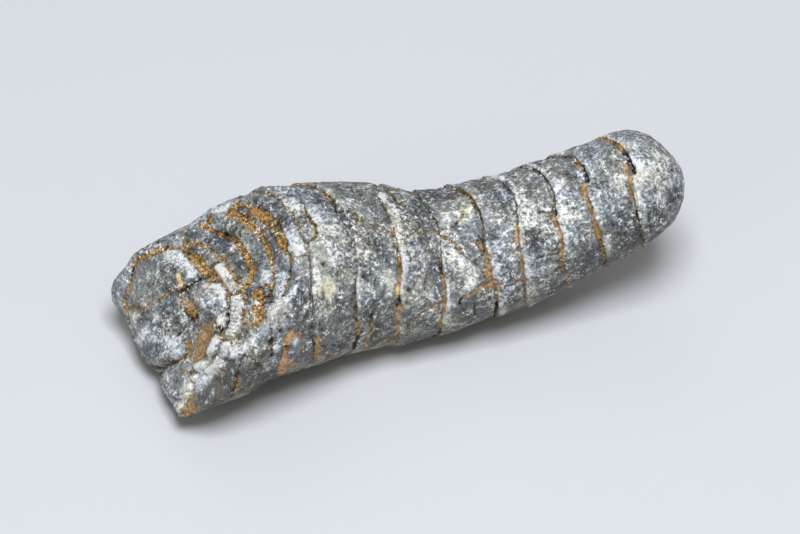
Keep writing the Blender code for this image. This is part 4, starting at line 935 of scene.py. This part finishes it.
        (-28.4, -16.3), (-28.8, -15.5), (-28.2, -14.8)]),
    (.9, 0, .3, 0, 1, 0, [(-41.1, -6.6), (-39.3, -7.2), (-38.9, -8.1), (-39.8, -9),
        (-40.3, -9.9), (-40.9, -8.3)]),
    (-.7, 0, .3, -.1, 1.6, 0, [(-38.7, -7.1), (-37.4, -6.3), (-36.7, -7.6), (-37.4, -8.5),
        (-38.6, -8.3)]),
    (-.6, 0, .3, -.1, 1.6, 0, [(-35.9, -5.5), (-34.3, -4.9), (-34, -7), (-34.9, -7.6),
        (-35.9, -6.6)]),
    (1.3, 0, .3, .15, 0.8, 0, [(-36.3, -7.2), (-35.7, -7), (-35.4, -7.9), (-36.2, -8.1)]),
    (1.2, 0, .3, .15, 1, 0, [(-38.1, -9.1), (-37.3, -8.7), (-37, -9.6), (-37.6, -10.3),
        (-38.2, -9.9)]),
    (1.3, 0, .3, .2, 1, 0, [(-39.5, -10.4), (-38.7, -9.9), (-37.9, -10.8), (-38.9, -11.7),
        (-39.5, -11.1)]),
    (.9, .2, .3, .15, 1.6, 0, [(-37.1, -10), (-36.2, -9.6), (-34.9, -10), (-35.4, -11.3),
        (-36.6, -11.2)]),
    (-.8, 0, .3, -.15, 1.6, 0, [(-36.5, -8.8), (-35.1, -8.2), (-34.3, -9.1), (-34.9, -10),
        (-36, -9.6)]),
    (-.8, 0, .3, -.15, 1.6, 0, [(-37.4, -11.5), (-36.2, -11.2), (-35.4, -12.1), (-36.2, -13),
        (-37.3, -12.4)]),
    (.7, 0, .3, .1, 1.6, 0, [(-34.6, -10.6), (-33, -10.3), (-32, -11.7), (-32.1, -13.1),
        (-33.7, -13.9), (-35.2, -13.6), (-34.9, -12.1)]),
    (-.2, .4, .2, 0, 1, .9, [(-34.5, -6.7), (-33.7, -7), (-33.5, -9.4), (-34.3, -10),
        (-34.6, -8.2)]),
    (.8, 0, .3, .1, 1, 0, [(-37.5, -13.9), (-35.9, -13.8), (-34.9, -14.5), (-36.2, -14.8)]),
]
# Pits: place on the sheet, radius, depth, and darkness of the painted shade in the pit.
PITS = [
    (-6.7, 3.4, .18, 0.4, 1), (-5, 4.3, .24, 0.4, 1), (-11.2, 0.4, .33, 0.45, 1),
    (7.3, 1.9, .18, 0.35, 1), (3, -0.4, .24, 0.35, 1), (-16.8, 10.9, .27, 0.5, 1),
    (-16.2, 10.8, .27, 0.5, 1), (-26.1, 4.9, .52, 0.8, 1), (-25.2, -8.1, .37, 0.9, 1),
    (-40.4, -0.2, .27, 0.5, 1), (-40.6, -1.5, .21, 0.5, 1), (-32.8, -3.7, .30, 0.6, 1),
    (-17.6, -9.4, .45, 0.6, 1), (-18.8, -11, .52, 0.6, 1), (-16.6, -11.9, .27, 0.6, 1),
    (1.3, -3.4, .30, 0.3, 1), (-0.1, -5.1, .30, 0.8, 1), (-33, -10, .27, 0.4, 1),
    (-35.4, 1.2, .18, 0.3, 1), (-29.7, -1.8, .27, 0.5, 1), (-30.3, -7.3, .27, 0.4, 1),
    (0.9, -5.2, .18, 0.3, 1), (-8.9, -11.9, .21, 0.3, 1), (-27.7, 5.2, .30, 0.5, 1),
    (-24.5, 3.9, .30, 0.4, 1), (-5.3, -1.5, .33, 0.35, 1), (-4.4, 4, .15, 0.3, 1),
    (-11.5, -9.3, .30, 0.3, 1), (11.6, 4, .24, 0.3, 1), (6.1, -0.3, .24, 0.5, 1),
    (28, 13, .27, 0.7, 1), (34.7, 14.4, .30, 0.7, 1), (22.9, 8.5, .27, 0.6, 1),
    (35.3, 7.7, .24, 0.5, 1), (27.1, 8.3, .13, 0.2, 1), (29.8, 10.6, .13, 0.2, 1),
    (25.6, 3.1, .16, 0.25, 1), (37.4, 4, .15, 0.2, 1), (39.2, 10.7, .15, 0.2, 1),
    (-36, -15.7, .75, 0.9, 0.3), (-31.9, -3.6, .30, 0.4, 0.8), (-31.4, -7.4, .75, 0.5, 0.3),
    (-32.6, -3.4, .36, 0.5, 1), (-30.2, -1.5, .30, 0.4, 0.8), (-28.1, -7.5, .45, 0.4, 0.2),
]
print("cracks, patches and pits:", len(CRACKS), len(PATCHES), len(PITS))

# %% [markdown]
# ## Distance to the nearest crack
# A crack is far thinner than a face of the mesh, so painting faces would give a saw edge. Each
# point instead stores how far it is from the nearest crack, in half widths, and on which side.
# Those numbers change evenly across a face, so the material can draw the line sharp.

# %% Lay the cracks on the stone
LINE_STEP = 0.35
FARTHEST = 4.0
WANDER, WANDER_LENGTH = 0.1, 1.3
REACH = 2.2
# A hairline is only part filled, so the stone shows through it. Gaps and wide lines are full.
OPEN_GAP, FIRM_HALF, HAIRLINE_FIRM = 0.15, 0.2, 0.5
far = np.full(len(body), FARTHEST)
side = np.full(len(body), FARTHEST)
filling = np.full(len(body), 0.5)
firm = np.zeros(len(body))
carving = np.zeros(len(body))
stain = np.zeros(len(body))


def worn_line(points):
    """The line resampled in short steps, with a slight wander so that it looks broken."""
    points = np.array(points, float)
    run = np.concatenate([[0.0], np.cumsum(np.linalg.norm(np.diff(points, axis=0), axis=1))])
    steps = np.linspace(0, run[-1], max(2, int(run[-1] / LINE_STEP) + 1))
    if len(points) > 2:
        line = smooth_through(run, points, steps)
    else:
        line = np.stack([np.interp(steps, run, points[:, k]) for k in range(2)], axis=1)
    for n, (u, v) in enumerate(line):
        spot = Vector((u / WANDER_LENGTH, v / WANDER_LENGTH, 3.0))
        line[n] += WANDER * np.array(noise.noise_vector(spot))[:2]
    return line


def lay_crack(line, width, fill, depth, where):
    """Stores this crack at the points it is the nearest crack of, and carves its groove."""
    half = width / 2
    near = where & (np.abs(body - line.mean(axis=0)).max(axis=1) < np.ptp(line, axis=0).max() + REACH)
    near = np.flatnonzero(near)
    if not len(near):
        return
    starts, spans = line[:-1], np.diff(line, axis=0)
    lengths = np.maximum((spans**2).sum(axis=1), 1e-9)
    offset = body[near][:, None] - starts[None]
    share = np.clip((offset * spans[None]).sum(axis=2) / lengths, 0, 1)
    gap = offset - share[..., None] * spans[None]
    lift = (gap * normals[near][:, None]).sum(axis=2)
    flat_gap = gap - lift[..., None] * normals[near][:, None]
    away = np.sqrt((flat_gap**2).sum(axis=2) + (0.3 * lift) ** 2)
    nearest = away.argmin(axis=1)
    row = np.arange(len(near))
    distance = away[row, nearest]
    turn = np.cross(spans[nearest], offset[row, nearest])
    sign = np.where((turn * normals[near]).sum(axis=1) < 0, -1.0, 1.0)
    scaled = distance / half
    closer = scaled < far[near]
    far[near[closer]] = scaled[closer]
    side[near[closer]] = (scaled * sign)[closer]
    filling[near[closer]] = fill
    firm[near[closer]] = 1.0 if fill < OPEN_GAP else np.clip(half / FIRM_HALF, HAIRLINE_FIRM, 1)
    groove = half + 0.15
    carving[near] = np.maximum(carving[near], depth * np.clip(1 - (distance / groove) ** 2, 0, 1))
    reach = np.exp(-np.maximum(distance - half, 0) / 0.45) * min(1.0, half / 0.3)
    stain[near] = np.maximum(stain[near], reach * np.clip(fill * 2, 0, 1))


# Blender seeds this noise from the clock, so a seed of its own keeps every run the same.
WANDER_SEED = 7
noise.seed_set(WANDER_SEED)
everywhere = facing > 0
for width, fill, depth, points in CRACKS:
    lay_crack(drop(worn_line(points)), width, fill, depth, everywhere)
print("points on a crack:", int((far < 1).sum()))

# %% [markdown]
# ## The other side
# The far side has the same nine sutures and is as weathered as the near one. Its fillings
# come from noise, and a few dozen short cracks wander over it from a fixed seed, so the stone is
# finished all round and the same each time.

# %% Sutures and cracks on the far side
far_side = seen < 0.5
SUTURE_HALF, SUTURE_VARIES, SUTURE_SWELLS = 0.2, 0.1, 0.8
FILL_LENGTH = 6.0
for n, line in enumerate(lines):
    change = np.array([noise.noise(Vector(p / FILL_LENGTH)) for p in body[far_side]])
    half = SUTURE_HALF + SUTURE_VARIES * change + SUTURE_SWELLS * np.clip(change - 0.1, 0, 1)
    scaled = (along - line)[far_side] / half
    closer = np.abs(scaled) < far[far_side]
    place = np.flatnonzero(far_side)[closer]
    far[place] = np.abs(scaled[closer])
    side[place] = scaled[closer]
    filling[place] = np.clip(0.6 + 1.4 * change[closer], 0, 1)
    firm[place] = 1.0
    stain[place] = np.maximum(stain[place], 0.5 * np.exp(-np.abs(scaled[closer]) / 3))

dice = random.Random(11)
FAR_CRACKS = 46
for _ in range(FAR_CRACKS):
    at, turn = dice.uniform(-14, LENGTH + 6), dice.uniform(120, 320)
    way = dice.choice((0.0, math.pi / 2, dice.uniform(0, math.pi)))
    walk = []
    for _ in range(dice.randint(8, 22)):
        walk.append((at, turn))
        way += dice.uniform(-0.5, 0.5)
        at += 0.4 * math.cos(way)
        turn += 0.4 * math.sin(way) * 5
    path = np.array(walk)
    spot_root, spot_way, spot_length = rays(path[:, 0], path[:, 1])
    line = settle(spot_root + spot_length[:, None] * spot_way)
    lay_crack(line, dice.uniform(0.12, 0.4), dice.choice((0.2, 0.5, 0.6, 0.9, 1.0)),
              dice.uniform(0.08, 0.25), far_side)
print("points on a crack with the far side:", int((far < 1).sum()))

# %% [markdown]
# ## Layers and patches
# On the break the inner layers show as blocks set like bricks in an arch, each a little proud
# of its joints. Each block is an outline on the sheet. A point inside it rises, with the edge
# softened, and takes on the block's own tone. Pale patches on the body have no height.

# %% Raise the blocks and tint the patches
# Some patches on the break are painted shade and one is a painted highlight; they are marked in the table.
pale = np.zeros(len(body))
cream = np.zeros(len(body))
calm = np.zeros(len(body))
rib_turn = np.zeros(len(body))
ribbed = np.zeros(len(body))
rise = np.zeros(len(body))
EDGE_WANDER, EDGE_LENGTH = 0.35, 1.1
# The far side's patches: size in mm, contrast, where they start, the darkest, and the cream.
CLOUD_LENGTH, FAR_PALE, FAR_LEVEL, FAR_DARK, FAR_CREAM = 7.0, 4.5, 0.08, -0.45, 3.0


def inside_by(points, outline):
    """How far each point lies inside the outline, below zero outside it."""
    corners = np.array(outline, float)
    after = np.roll(corners, -1, axis=0)
    spans = after - corners
    offset = points[:, None] - corners[None]
    share = np.clip((offset * spans).sum(axis=2) / (spans**2).sum(axis=1), 0, 1)
    away = np.linalg.norm(offset - share[..., None] * spans, axis=2).min(axis=1)
    x, y = points[:, :1], points[:, 1:]
    crosses = (corners[:, 1] > y) != (after[:, 1] > y)
    slope = spans[:, 1] + np.where(spans[:, 1] == 0, 1e-9, 0)
    left = x < corners[:, 0] + (y - corners[:, 1]) * spans[:, 0] / slope
    return np.where((crosses & left).sum(axis=1) % 2 == 1, away, -away)


wander = np.array([noise.noise(Vector(p / EDGE_LENGTH)) for p in body])
for tone, tint, quiet, lift, soft, rib, outline in PATCHES:
    corners = np.array(outline)
    middle, reach = corners.mean(axis=0), np.ptp(corners, axis=0).max() / 2 + 2
    near = np.flatnonzero((seen > 0) & (np.abs(sheet - middle).max(axis=1) < reach))
    inner = inside_by(sheet[near], outline)
    inner_worn = inner + (EDGE_WANDER * wander[near] if soft > 0.5 else 0)
    mask = np.clip(0.5 + inner_worn / soft, 0, 1)
    mask = mask * mask * (3 - 2 * mask) * seen[near]
    pale[near] = pale[near] * (1 - mask) + tone * mask
    cream[near] = np.maximum(cream[near] * (1 - mask), tint * mask)
    calm[near] = calm[near] * (1 - mask) + quiet * mask
    shape = np.clip(inner / soft, 0, 1) * seen[near]
    if rib:
        _, _, axes = np.linalg.svd(corners - middle)
        rib_turn[near] = np.where(mask > 0, (sheet[near] - middle) @ axes[0] / rib, rib_turn[near])
        ribbed[near] = np.maximum(ribbed[near], mask)
    rise[near] = np.maximum(rise[near], lift * shape) if lift > 0 else rise[near] + lift * shape

clouds = np.array([noise.noise(Vector(p / CLOUD_LENGTH)) for p in body])
paling = np.clip(FAR_PALE * (clouds - FAR_LEVEL), FAR_DARK, 1)
pale += (1 - seen) * paling
cream += (1 - seen) * np.clip(FAR_CREAM * -clouds - FAR_LEVEL, 0, 1)

# Painted shade: each pit is carved, and also marked for a near-black colour as the shade inside it.
pit_shade = np.zeros(len(body))
for u, v, radius, depth, darkness in PITS:
    away = np.hypot(sheet[:, 0] - u, sheet[:, 1] - v) / radius
    hole = np.clip(1.3 - away, 0, 1) * (facing > 0)
    pit_shade = np.maximum(pit_shade, darkness * np.clip(hole * 1.6, 0, 1))
    carving = np.maximum(carving, depth * np.clip(1.4 - away, 0, 1) * (facing > 0))
print("highest block, mm:", round(rise.max(), 2))

# %% [markdown]
# ## Carve the skin
# Now the fine relief goes on along the normals: the groove and lip of each suture, the blocks,
# the cracks, and a grain of half a millimetre. It is real relief, so it also shows in the
# outline and survives in an exported mesh.

# %% Grooves, lips and grain
LIP, LIP_LENGTH = 0.16, 1.0
GROOVE_SHARE, GROOVE_LEFT, GROOVE_RIGHT = 0.4, 0.6, 0.3
GRAIN = [(1.0, 0.075), (0.55, 0.06)]
GRAIN_SHIFT = 31.0
# Painted shade: the sides that face down are painted darker, as the shade under the stone.
SHADE_FROM, SHADE_FULL = 0.5, -0.5
lip = np.zeros(len(body))
for line, depth in zip(lines, SEAM_DEPTHS):
    d = along - line
    slope = np.where(d < 0, GROOVE_LEFT, GROOVE_RIGHT)
    carving = np.maximum(carving, GROOVE_SHARE * depth * np.clip(1 - np.abs(d) / slope, 0, 1))
    lip = np.maximum(lip, np.where(d > 0, np.exp(-((d - 0.35) / LIP_LENGTH) ** 2), 0))
fine = LIP * lip + rise - carving + rough(body, GRAIN, GRAIN_SHIFT)
shaped = body + fine[:, None] * normals
shaped[:, 2] = np.maximum(shaped[:, 2], 0)
for vert, place in zip(skin.verts, shaped):
    vert.co = Vector(place * MM)
bmesh.ops.recalc_face_normals(skin, faces=skin.faces)
skin.normal_update()
upward = np.array([v.normal.z for v in skin.verts])
# Painted shade, strongest where the skin faces straight down.
underside_shade = np.clip((SHADE_FROM - upward) / (SHADE_FROM - SHADE_FULL), 0, 1)
mesh = bpy.data.meshes.new("weathered_orthoceras")
skin.to_mesh(mesh)
skin.free()
mesh.shade_smooth()
fields = {
    "crack_far": far, "crack_side": side, "filling": filling, "stain": stain,
    "pale": pale, "cream": cream, "pit_shade": pit_shade, "lip": lip, "calm": calm, "firm": firm,
    "rib_turn": rib_turn, "ribbed": ribbed, "underside_shade": underside_shade,
}
for name, values in fields.items():
    field = mesh.attributes.new(name, "FLOAT", "POINT")
    field.data.foreach_set("value", np.ascontiguousarray(values, np.float32))
fossil = bpy.data.objects.new("weathered_orthoceras", mesh)
bpy.context.scene.collection.objects.link(fossil)
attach(fossil, "root")
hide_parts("fossil")
print("triangles:", sum(len(p.vertices) - 2 for p in mesh.polygons))

# %% [markdown]
# ## Colours and nodes
# Colours are written as sRGB hex, as a picker gives them, and one function turns them to the
# linear values that Blender works in. One more function adds a node, sets it and links it.

# %% Colour and node helpers
def linear(code):
    """Linear RGBA of an sRGB hex colour."""
    parts = [int(code[i:i + 2], 16) / 255 for i in (1, 3, 5)]
    return tuple(c / 12.92 if c <= 0.04045 else ((c + 0.055) / 1.055) ** 2.4 for c in parts) + (1.0,)


def add(tree, kind, sockets=None, stops=None, **settings):
    """A new node. A socket given a node or an output is linked, and any other is set."""
    made = tree.nodes.new(kind)
    for name, value in settings.items():
        setattr(made, name, value)
    for key, value in (sockets or {}).items():
        socket = made.inputs[key]
        if isinstance(value, bpy.types.Node):
            value = value.outputs[0]
        if isinstance(value, bpy.types.NodeSocket):
            tree.links.new(value, socket)
        else:
            socket.default_value = linear(value) if isinstance(value, str) else value
    if stops:
        ramp = made.color_ramp.elements
        while len(ramp) < len(stops):
            ramp.new(0.5)
        for element, (position, colour) in zip(ramp, stops):
            element.position = position
            element.color = linear(colour) if isinstance(colour, str) else (colour,) * 3 + (1.0,)
    return made


# %% [markdown]
# ## Weathered limestone
# The stone is fine grey limestone with calcite in its old chambers and iron-stained clay in
# its cracks. Tumbling in soil left it matt and mottled. Grain, mottling and specks are noise
# at their real sizes, and the attributes place the calcite, the clay and the open gaps.

# %% Material: weathered limestone with calcite and iron clay
CLOUD_MM, MOTTLE_MM, SPECK_MM, GRIT_MM, DUST_MM = 8.0, 2.4, 1.0, 0.5, 0.26
stone = bpy.data.materials.new("weathered_limestone")
stone.use_nodes = True
tree = stone.node_tree
shader = tree.nodes["Principled BSDF"]
spot = add(tree, "ShaderNodeTexCoord").outputs["Object"]


def scale_for(mm):
    """Scale of a pattern whose features are this many millimetres apart."""
    return 1 / (mm * MM)


read = {name: add(tree, "ShaderNodeAttribute", attribute_name=name).outputs["Fac"] for name in fields}
noises = {}
for name, mm, detail, roughness, bend in (
    ("cloud", CLOUD_MM, 2.0, 0.5, 0.0),
    ("mottle", MOTTLE_MM, 2.0, 0.5, 0.0),
    ("speck", SPECK_MM, 1.0, 0.5, 0.0),
    ("grit", GRIT_MM, 1.0, 0.5, 0.0),
    ("dust", DUST_MM, 1.0, 0.5, 0.0),
):
    noises[name] = add(tree, "ShaderNodeTexNoise", {
        "Vector": spot, "Scale": scale_for(mm), "Detail": detail, "Roughness": roughness,
        "Distortion": bend,
    }).outputs["Fac"]
warmth = add(tree, "ShaderNodeTexNoise", {"Vector": spot, "Scale": scale_for(6.5), "Detail": 1.0})
tint_noise = add(tree, "ShaderNodeTexNoise", {"Vector": spot, "Scale": scale_for(4.2), "Detail": 2.0})

# %% [markdown]
# The lightness of the bare stone is a sum: broad clouds, mottling, specks and the drawn pale
# and dark patches. A ramp then turns it into the greys of limestone and the white of calcite.

# %% Bare stone
LIGHTNESS = 0.48
SHARES = (("mottle", 0.62), ("speck", 0.64), ("grit", 0.7), ("dust", 0.75))
busy = -sum(share for _, share in SHARES) / 2
for name, share in SHARES:
    busy = add(tree, "ShaderNodeMath", {0: noises[name], 1: share, 2: busy}, operation="MULTIPLY_ADD")
even = add(tree, "ShaderNodeMath", {0: read["calm"], 1: -0.65, 2: 1.0}, operation="MULTIPLY_ADD")
lively = add(tree, "ShaderNodeMapRange", {
    "Value": warmth, "From Min": 0.38, "From Max": 0.62, "To Min": 0.7, "To Max": 1.3,
})
amount = add(tree, "ShaderNodeMath", {0: even, 1: lively}, operation="MULTIPLY")
base = add(tree, "ShaderNodeMath", {0: noises["cloud"], 1: 0.35, 2: LIGHTNESS - 0.175}, operation="MULTIPLY_ADD")
base = add(tree, "ShaderNodeMath", {0: read["pale"], 1: 0.35, 2: base}, operation="MULTIPLY_ADD")
# Painted highlight: the lip on the tip side of each suture is painted lighter, partly a pale rim and partly the
# light a raised lip catches.
base = add(tree, "ShaderNodeMath", {0: read["lip"], 1: 0.14, 2: base}, operation="MULTIPLY_ADD")
wave = add(tree, "ShaderNodeMath", {
    0: add(tree, "ShaderNodeMath", {0: noises["grit"], 1: 1.5, 2: add(tree, "ShaderNodeMath", {
        0: read["rib_turn"], 1: 2 * math.pi}, operation="MULTIPLY")}, operation="MULTIPLY_ADD"),
}, operation="COSINE")
ribs = add(tree, "ShaderNodeMath", {0: wave, 1: read["ribbed"]}, operation="MULTIPLY")
base = add(tree, "ShaderNodeMath", {0: ribs, 1: 0.11, 2: base}, operation="MULTIPLY_ADD")
total = add(tree, "ShaderNodeMath", {0: busy, 1: amount, 2: base}, operation="MULTIPLY_ADD")
bare = add(tree, "ShaderNodeValToRGB", {"Fac": total}, stops=(
    (0.0, "#2f3031"), (0.2, "#57595a"), (0.4, "#7c7f7f"), (0.58, "#a6a9a9"), (0.74, "#d3d5d4"),
    (0.88, "#f9f9f6"),
))
tinted = add(tree, "ShaderNodeMix", {
    0: add(tree, "ShaderNodeMapRange", {"Value": tint_noise, "From Min": 0.42, "From Max": 0.6}),
    6: "#f5f9fe", 7: "#fbf8ec",
}, data_type="RGBA")
toned = add(tree, "ShaderNodeMix", {0: 1.0, 6: bare, 7: tinted.outputs[2]}, data_type="RGBA", blend_type="MULTIPLY")
creamy = add(tree, "ShaderNodeMix", {
    0: add(tree, "ShaderNodeMath", {0: read["cream"], 1: 0.7}, operation="MULTIPLY"),
    6: toned.outputs[2], 7: "#ece4b6",
}, data_type="RGBA", blend_type="MULTIPLY")
stained = add(tree, "ShaderNodeMix", {
    0: add(tree, "ShaderNodeMath", {0: read["stain"], 1: 0.4}, operation="MULTIPLY"),
    6: creamy.outputs[2], 7: "#cbb083",
}, data_type="RGBA", blend_type="MULTIPLY")
# Painted highlights: where the dust and speck noises peak together, the stone is painted near white, as glints off
# calcite faces.
sparkle = add(tree, "ShaderNodeMath", {0: noises["dust"], 1: noises["speck"]}, operation="ADD")
painted_glints = add(tree, "ShaderNodeMapRange", {
    "Value": sparkle, "From Min": 1.17, "From Max": 1.3, "To Min": 0.0, "To Max": 0.85,
})
# Painted shade: where the dust and mottle noises are lowest, small dark specks stand for the shade in tiny pits.
pocks = add(tree, "ShaderNodeMapRange", {
    "Value": add(tree, "ShaderNodeMath", {0: noises["dust"], 1: noises["mottle"]}, operation="ADD"),
    "From Min": 0.74, "From Max": 0.68, "To Min": 0.0, "To Max": 0.75,
})
glint_painted_stone = add(tree, "ShaderNodeMix", {
    0: add(tree, "ShaderNodeMath", {0: painted_glints, 1: even}, operation="MULTIPLY"), 6: stained.outputs[2], 7: "#fdfdfa",
}, data_type="RGBA")
pocked = add(tree, "ShaderNodeMix", {
    0: add(tree, "ShaderNodeMath", {0: pocks, 1: even}, operation="MULTIPLY"),
    6: glint_painted_stone.outputs[2], 7: "#3a3a36",
}, data_type="RGBA")
# Painted shade: the down-facing sides are darkened in the base colour.
underside_shaded = add(tree, "ShaderNodeMix", {
    0: read["underside_shade"], 6: pocked.outputs[2], 7: "#a19b8e",
}, data_type="RGBA", blend_type="MULTIPLY")

# %% [markdown]
# Each crack is drawn where its distance drops below one half width. The signed distance is
# used close by, because it passes evenly through zero, and the plain one further off, where
# the sign may change between two cracks. A little noise keeps the edges ragged.

# %% Cracks, fillings and pits
FULLEST = 1.6
reach = add(tree, "ShaderNodeMath", {0: read["firm"], 1: -1.6, 2: 3.2}, operation="MULTIPLY_ADD")
close = add(tree, "ShaderNodeMath", {0: read["crack_far"], 1: reach}, operation="LESS_THAN")
signed = add(tree, "ShaderNodeMath", {0: read["crack_side"]}, operation="ABSOLUTE")
distance = add(tree, "ShaderNodeMix", {0: close, 2: read["crack_far"], 3: signed}, data_type="FLOAT")
ragged = add(tree, "ShaderNodeMath", {0: noises["grit"], 1: 1.6, 2: distance}, operation="MULTIPLY_ADD")
crack = add(tree, "ShaderNodeMapRange", {
    "Value": ragged, "From Min": 1.45, "From Max": 2.0, "To Min": 1.0, "To Max": 0.0,
}, interpolation_type="SMOOTHSTEP")
solid = add(tree, "ShaderNodeMath", {0: crack, 1: read["firm"]}, operation="MULTIPLY")
ochre = add(tree, "ShaderNodeMath", {0: read["filling"], 1: 0.61, 2: 0.13}, operation="COMPARE")
blend = add(tree, "ShaderNodeMath", {0: noises["speck"], 1: 0.5, 2: -0.25}, operation="MULTIPLY_ADD")
varied = add(tree, "ShaderNodeMath", {0: noises["mottle"], 1: 0.7, 2: -0.35}, operation="MULTIPLY_ADD")
blend = add(tree, "ShaderNodeMath", {0: varied, 1: ochre, 2: blend}, operation="MULTIPLY_ADD")
# Painted shade: open gaps, fillings 0 to 0.1, are painted near black, as the shade inside them.
earth = add(tree, "ShaderNodeValToRGB", {
    "Fac": add(tree, "ShaderNodeMath", {0: read["filling"], 1: 1 / FULLEST, 2: blend}, operation="MULTIPLY_ADD"),
}, stops=[(fill / FULLEST, colour) for fill, colour in (
    (0.0, "#0b0906"), (0.1, "#1d160d"), (0.25, "#55442c"), (0.4, "#746236"), (0.52, "#8f7238"), (0.6, "#aa772f"),
    (0.75, "#ad8a52"), (0.88, "#8f6f49"), (1.0, "#b99c7a"), (1.2, "#c08c5c"), (1.5, "#f2cf96"),
)])
# The clay is broken into light and dark crumbs: partly its own colour, partly painted shade in the crevices between
# crumbs and painted highlights on them.
crumbs = add(tree, "ShaderNodeMapRange", {
    "Value": add(tree, "ShaderNodeMath", {0: noises["dust"], 1: noises["grit"]}, operation="ADD"),
    "From Min": 0.75, "From Max": 1.25, "To Min": 0.15, "To Max": 1.75,
})
crumbling = add(tree, "ShaderNodeMapRange", {
    "Value": read["filling"], "From Min": 0.66, "From Max": 0.84, "To Min": 1.0, "To Max": 0.4,
})
crumbly = add(tree, "ShaderNodeMix", {0: crumbling, 6: earth, 7: crumbs}, data_type="RGBA", blend_type="MULTIPLY")
glint = add(tree, "ShaderNodeMapRange", {
    "Value": sparkle, "From Min": 1.18, "From Max": 1.28, "To Min": 0.0, "To Max": 0.8,
})
glinting = add(tree, "ShaderNodeMix", {
    0: add(tree, "ShaderNodeMath", {0: ochre, 1: glint}, operation="MULTIPLY"),
    6: crumbly.outputs[2], 7: "#fffdf4",
}, data_type="RGBA")
filled = add(tree, "ShaderNodeMix", {0: solid, 6: underside_shaded.outputs[2], 7: glinting.outputs[2]}, data_type="RGBA")
# Painted shade: the pits are painted near black, as the shade inside them.
dark = add(tree, "ShaderNodeMix", {
    0: read["pit_shade"], 6: filled.outputs[2], 7: "#17130e",
}, data_type="RGBA")
tree.links.new(dark.outputs[2], shader.inputs["Base Color"])

# %% Fine relief and gloss
depths = (("mottle", 0.1), ("speck", 0.12), ("grit", 0.12), ("dust", 0.07))
relief = add(tree, "ShaderNodeMath", {0: crack, 1: -0.1}, operation="MULTIPLY")
for name, depth in depths:
    relief = add(tree, "ShaderNodeMath", {0: noises[name], 1: depth, 2: relief}, operation="MULTIPLY_ADD")
bump = add(tree, "ShaderNodeBump", {"Height": relief, "Distance": MM, "Strength": 1.0})
tree.links.new(bump.outputs["Normal"], shader.inputs["Normal"])
gloss = add(tree, "ShaderNodeMapRange", {
    "Value": total, "From Min": 0.2, "From Max": 1.0, "To Min": 0.6, "To Max": 0.36,
})
dull = add(tree, "ShaderNodeMath", {0: crack, 1: 0.3, 2: gloss}, operation="MULTIPLY_ADD")
tree.links.new(dull.outputs[0], shader.inputs["Roughness"])
shader.inputs["IOR"].default_value = 1.55
fossil.data.materials.append(stone)
print("nodes:", len(tree.nodes))

# %% [markdown]
# ## Floor, light and camera
# A pale, plain floor and soft lamps from above and to the left let the relief show. The camera
# is long, so the stone keeps its proportions, and it looks down along the worn cone.

# %% Floor
FLOOR_SIZE = 3.0
sheet_mesh = bmesh.new()
bmesh.ops.create_grid(sheet_mesh, x_segments=1, y_segments=1, size=FLOOR_SIZE / 2)
floor_mesh = bpy.data.meshes.new("floor")
sheet_mesh.to_mesh(floor_mesh)
sheet_mesh.free()
floor = bpy.data.objects.new("floor", floor_mesh)
bpy.context.scene.collection.objects.link(floor)
paper = bpy.data.materials.new("matt_paper")
paper.use_nodes = True
paper_shader = paper.node_tree.nodes["Principled BSDF"]
paper_shader.inputs["Base Color"].default_value = linear("#dcdddd")
paper_shader.inputs["Roughness"].default_value = 0.9
floor.data.materials.append(paper)


# %% Lamps and surroundings
def lamp(name, azimuth, elevation, distance, width, watts, colour):
    """A soft square lamp that looks at the stone."""
    data = bpy.data.lights.new(name, "AREA")
    data.shape, data.size, data.energy, data.color = "SQUARE", width, watts, linear(colour)[:3]
    made = bpy.data.objects.new(name, data)
    place = Vector(unit(azimuth, elevation) * distance)
    made.matrix_world = Matrix.Translation(place) @ place.to_track_quat("Z", "Y").to_matrix().to_4x4()
    bpy.context.scene.collection.objects.link(made)


lamp("key_lamp", 262, 73, 0.9, 0.35, 7.6, "#f0f5ff")
lamp("fill_lamp", 214, 28, 1.0, 0.4, 0.7, "#fff6ea")
lamp("back_lamp", 80, 50, 1.1, 0.5, 0.55, "#f4f7ff")
world = bpy.data.worlds.new("studio")
world.use_nodes = True
world.node_tree.nodes["Background"].inputs["Color"].default_value = linear("#e2e2e2")
world.node_tree.nodes["Background"].inputs["Strength"].default_value = 0.27
bpy.context.scene.world = world
bpy.context.scene.view_settings.view_transform = "Standard"

# %% Camera
LENS, SENSOR, CAMERA_AWAY = 225.0, 36.0, 0.76923
camera_data = bpy.data.cameras.new("camera")
camera_data.lens, camera_data.sensor_width = LENS, SENSOR
camera = bpy.data.objects.new("camera", camera_data)
turned_to = Matrix((SHEET_ACROSS, SHEET_UP, SHEET_OUT)).transposed().to_4x4()
place = Vector(SHEET_ZERO * MM + SHEET_OUT * CAMERA_AWAY)
camera.matrix_world = Matrix.Translation(place) @ turned_to
bpy.context.scene.collection.objects.link(camera)
bpy.context.scene.camera = camera
